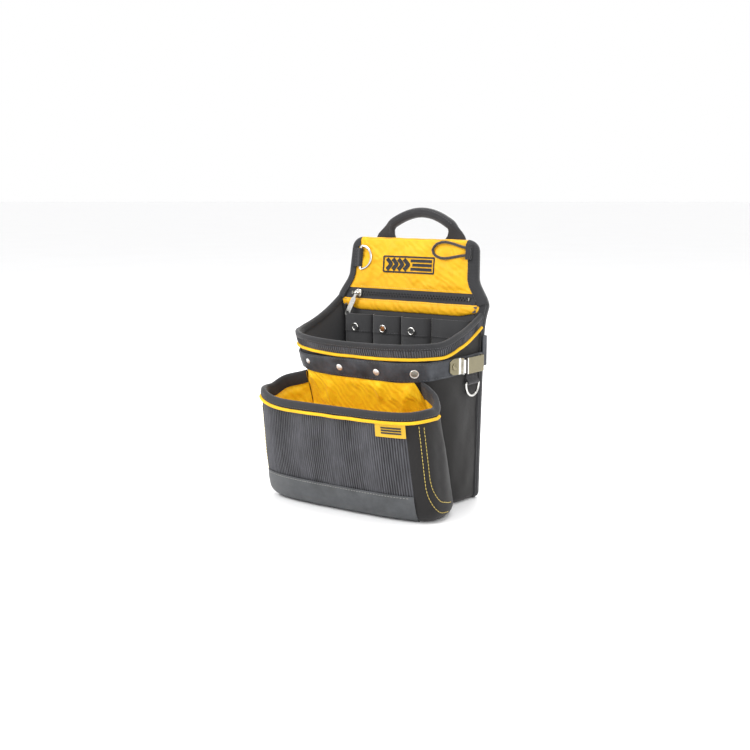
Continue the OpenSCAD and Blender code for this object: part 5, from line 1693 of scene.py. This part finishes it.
def d_ring_path():
    """Middle line of a D ring with its bar on the Z axis and its bow towards +X."""
    r = 2.2                                           # of the corners
    bow = RING_REACH - RING_WIRE / 2 - RING_HALF
    corner = [(r * (1 - math.cos(t)), 0, RING_HALF - r + r * math.sin(t))
              for t in np.radians([15, 35, 55, 75, 90])]
    pts = [(0, 0, z) for z in np.linspace(-RING_HALF + r, RING_HALF - r, 9)] + corner
    pts += [(bow + RING_HALF * math.sin(t), 0, RING_HALF * math.cos(t))
            for t in np.radians(np.arange(0, 181, 7.5)) if bow + RING_HALF * math.sin(t) > 2.3]
    return np.array(pts + [(x, 0, -z) for x, _, z in corner[::-1]], float)


def tab_path(tail, lift):
    """Webbing folded round a ring's bar, in X and Y: it starts and ends at -tail."""
    r = RING_WIRE / 2 + 0.06 + 0.6
    arc = [(r * math.cos(t), r * math.sin(t)) for t in np.radians(np.arange(-140, 141, 14))]
    pts = [(-tail, lift + 0.6), (-tail * 0.45, lift + 0.6)] + arc + [
        (-tail * 0.45, lift + 1.8), (-tail, lift + 1.8)]
    return smooth_path([(x, y, 0) for x, y in pts], 0.8, 3, 1.0)


def side_place(p):
    """From a ring's own frame to the side of the pouch, where its bow hangs down."""
    at = (main_w(SIDE_RING_Z) + 5.2, SIDE_RING_Y, SIDE_RING_Z)
    p = np.asarray(p, float)
    return np.stack([p[..., 1], -p[..., 2], -p[..., 0]], -1) + at


def upper_place(p):
    return on_panel(np.asarray(p, float) + UPPER_RING)


def rings_and_tabs():
    ring = tube(d_ring_path(), RING_WIRE / 2, 14, closed=True, up=(0, 1, 0))
    for side, place in (("upper", upper_place), ("side", side_place)):
        piece(side + "_ring", moved([ring], place), NICKEL_PLATE, [side + "_d_ring"],
              side + "_ring")
    rows = []
    for side, place, tail, lift, width, out, lines in (
            ("upper", upper_place, 12, -0.9, 22, -1, ((-10.5, -1.0, 10), (-6.0, -1.0, 10))),
            ("side", side_place, 9, -2.7, 24, 1, ((-7.0, 0.1, 11),))):
        tab = ribbon(tab_path(tail, lift), (0, 0, 1), width, 1.15)
        piece(side + "_ring_tab", moved([tab], place), WEBBING, [side + "_ring_tab"])
        for x, y, half in lines:
            p = np.array([(x, y, z) for z in (-half, 0, half)])
            rows.append(stitch_row(place(p), place(p + (0, out, 0)) - place(p)))
    piece("tab_stitches", rows, BLACK_THREAD)


CLIP_T, CLIP_H, CLIP_STAND, CLIP_FOOT = 1.2, 18.0, 6.0, 18.0
CLIP_DROP, CLIP_END, CLIP_D = 2.4, 56.0, 68.0


def clip_place(p):
    """From the clip's frame, x back along the strap and y out from it."""
    p = np.asarray(p, float)
    c, s = math.cos(math.radians(89)), math.sin(math.radians(89))
    at = (main_w(STRAP_Z) + 6.9, BACK_Y - CLIP_D, STRAP_Z + SIDE_LIFT + 1)
    return np.stack([p[..., 0] * c + p[..., 1] * s, p[..., 0] * s - p[..., 1] * c, p[..., 2]],
                    -1) + at


def clip():
    h, end = CLIP_T / 2, CLIP_END + CLIP_T / 2
    line = [(0.2, h - CLIP_DROP), (CLIP_FOOT - h, h), (CLIP_FOOT - h, CLIP_STAND + h),
            (end, CLIP_STAND + h), (end, 0.9 + h), (CLIP_END + 4.9, 0.9 + h)]
    path = smooth_path([(x, y, CLIP_H / 2) for x, y in line], 1.2, 5, 2.0)
    x, y = path[:, 0], path[:, 1]
    neck = CLIP_FOOT + 5 - x
    width = np.where((y > CLIP_STAND - 0.5) & (neck > 0), CLIP_H - neck * 0.7, CLIP_H)
    width = np.where(x < 6, CLIP_H - (6 - x) * 1.1, width)
    ob = piece("tape_clip", moved([ribbon(path, (0, 0, 1), width, CLIP_T)], clip_place),
               CLIP_STEEL, ["tape_clip"])
    # bands across the clip's bend: bright metal as painted highlight, round a near-black band as
    # painted shade
    for material in (CLIP_PAINTED_HIGHLIGHT, CLIP_PAINTED_SHADE):
        ob.data.materials.append(material)
    for face in ob.data.polygons:
        at = face.center.y / MM - BACK_Y + CLIP_D - CLIP_FOOT
        face.material_index = 2 if 1.0 < at < 4.5 else int(-3.5 < at < 6.5)
    x = 7.5
    at = (x, CLIP_T + 0.05 - CLIP_DROP * (1 - x / (CLIP_FOOT - CLIP_T)), CLIP_H / 2)
    turn = math.atan2(CLIP_DROP, CLIP_FOOT)
    cap = cap_points(at, (-math.sin(turn), math.cos(turn), 0), dome(4.0, 1.8))
    piece("clip_rivet", moved([cap], clip_place), CLIP_STEEL, ["clip_rivets"])


def loop_tab():
    """Webbing folded over the ends of the elastic loop."""
    line = [(82.2, -3.2), (79, -3.3), (76.0, -3.35), (75.5, -4.4), (76.0, -5.6), (79, -5.8),
            (82.2, -5.7)]
    path = smooth_path([(x, y, 283.25) for x, y in line], 0.9, 4, 1.0)
    piece("loop_tab", moved([ribbon(path, (0, 0, 1), 18.0, 1.1)], on_panel), WEBBING,
          ["loop_tab"])


rings_and_tabs()
clip()
loop_tab()

# ------------------------------------------------------------------ carrying handle

LEG_T = 3.0
PIVOT_Y = PANEL_T + 0.1 + 1 + 0.4 + LEG_T / 2
PIVOT_Z = PANEL_TOP + 4.5
LEG_H, HANDLE_X, ANCHOR_H, LEG_SPAN = 11.0, 3.0, 52.0, 95.0
WEBBING_W = 32.0
GRIP_RISE, GRIP_HALF_H, GRIP_HALF_D = 36.0, 5.8, 6.3


def handle_line():
    """Middle line, half width, half depth and squareness along the whole webbing."""
    rise = GRIP_RISE - GRIP_HALF_H - LEG_H + 2.0
    leg = np.linspace(PANEL_TOP - ANCHOR_H, PIVOT_Z + 1, 24)
    p = np.radians(np.arange(79, -79.1, -3.0))
    arch = np.column_stack([(LEG_SPAN / 180 + 0.03) * np.degrees(p),
                            PIVOT_Z + LEG_H - 5 + rise * np.cos(p) ** 0.85])
    right = np.column_stack([np.full(len(leg), LEG_SPAN / 2), leg])
    line = np.concatenate([right, arch, right[::-1] * (-1, 1)]) + (HANDLE_X, 0)
    for _ in range(2):
        line[1:-1] = (line[:-2] + 2 * line[1:-1] + line[2:]) / 4
    z = line[:, 1]
    t = ease((z - PIVOT_Z + 8) / 20)
    half = WEBBING_W / 2 + (GRIP_HALF_H - WEBBING_W / 2) * t
    depth = LEG_T / 2 + (GRIP_HALF_D - LEG_T / 2) * ease((z - PIVOT_Z - 1) / 16)
    return line, half, depth, 5 - 2.6 * t, t


def handle():
    line, half, depth, square, t = handle_line()
    d = unit(np.gradient(line, axis=0))
    side = np.column_stack([-d[:, 1], d[:, 0]])            # towards the outside of the arch
    run = distances(line)
    q = np.radians(np.arange(0, 360, 9.0))[None, :]
    e = 2 / square[:, None]
    cx, sy = power(np.cos(q), e), power(np.sin(q), e)
    full = t[:, None]
    fold = full * 0.22 * np.exp(-((np.degrees(q) - 232) / 13) ** 2)
    slant = np.cos(cx * 5.0 + run[:, None] * 0.55)
    w = half[:, None] * cx * (1 - fold)
    k = depth[:, None] * sy * (1 - 1.6 * fold) * (1 + 1.2 * full * (1 - full) * slant)
    k = k + 0.12 * full * waves(run[:, None] + 0 * q, np.degrees(q) / 8, 12, 52) * sy
    xz = line[:, None, :] - side[:, None, :] * w[:, :, None]
    ob = joined("handle_webbing", [part(panel_at(xz[:, :, 0], xz[:, :, 1], PIVOT_Y - k))])
    ob.data.materials.append(WEBBING)
    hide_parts("handle_anchors", "handle_legs")
    lo, hi = (panel_at(0.0, PIVOT_Z + z, PIVOT_Y) * MM for z in (-3.5, 3.5))
    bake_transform(ob)

    grip = t > 0.97
    x, z = (line[grip] - side[grip] * 3.2).T
    p = np.stack([x, PIVOT_Y - GRIP_HALF_D * 0.86 + 0 * x, z], -1)
    piece("grip_stitches", [panel_stitches(p, -1, lift=0.3)], BLACK_THREAD,
          ["handle_grip"], "handle")

    rows = []
    w, z0, z1 = WEBBING_W / 2 - 3, PANEL_TOP - ANCHOR_H + 3, PANEL_TOP - HEM_H - 6
    for x in (HANDLE_X - LEG_SPAN / 2, HANDLE_X + LEG_SPAN / 2):
        for line in ([(x - w, z0), (x + w, z0), (x + w, z1), (x - w, z1), (x - w, z0)],
                     [(x - w, z0), (x + w, z1)], [(x + w, z0), (x - w, z1)]):
            p = np.array([(a, PIVOT_Y + LEG_T / 2 + 0.05, b) for a, b in line])
            rows.append(panel_stitches(p, 1))
    piece("anchor_stitches", rows, PALE_THREAD)


handle()

# ------------------------------------------------------------------ belt sleeve

SLEEVE_HALF_W, BELT_T, BELT_STAND, BELT_Z, BELT_GAP, FLANGE = 60.0, 2.2, 9.0, 118.0, 66.0, 12.0


def belt_sleeve():
    y = BACK_Y + PANEL_T + 0.2 + BELT_T / 2
    z0, z1, out = BELT_Z, BELT_Z + BELT_GAP, y + BELT_STAND
    line = [(y, z0 - FLANGE), (y, z0 - 1.5), (out, z0 + 6), (out, z1 - 6), (y, z1 + 1.5),
            (y, z1 + FLANGE)]
    path = smooth_path([(0, y_, z) for y_, z in line], 4, 6, 3.0)
    piece("belt_sleeve", [ribbon(path, (1, 0, 0), 2 * SLEEVE_HALF_W, BELT_T)], COATED,
          ["belt_sleeve"])
    y = y + BELT_T / 2
    caps = [cap_points((x, y + 0.05, z), (0, 1, 0), dome(3.4, 1.7))
            for x in (-SLEEVE_HALF_W + 10, SLEEVE_HALF_W - 10)
            for z in (z0 - FLANGE / 2 - 2.5, z1 + FLANGE / 2 + 2.5)]
    piece("belt_sleeve_rivets", caps, NICKEL_PLATE, ["belt_sleeve_rivets"])
    x = SLEEVE_HALF_W - 3
    rows = [stitch_row([(-x, y, z), (x, y, z)], (0, 1, 0))
            for z in (z0 - FLANGE + 2, z1 + FLANGE - 2, z0 - 4, z1 + 4)]
    piece("belt_sleeve_stitches", rows, BLACK_THREAD)


belt_sleeve()

# ------------------------------------------------------------------ hidden CAD parts

BAG_CLOTH = woven("bag_cloth", (0.03, 0.031, 0.034), 0.8, coord="Object")
for node, material in (("back_stiffener", BOARD), ("base_board", BOARD), ("zip_bag", BAG_CLOTH)):
    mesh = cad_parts[node].data
    mesh.materials.clear()
    mesh.materials.append(material)
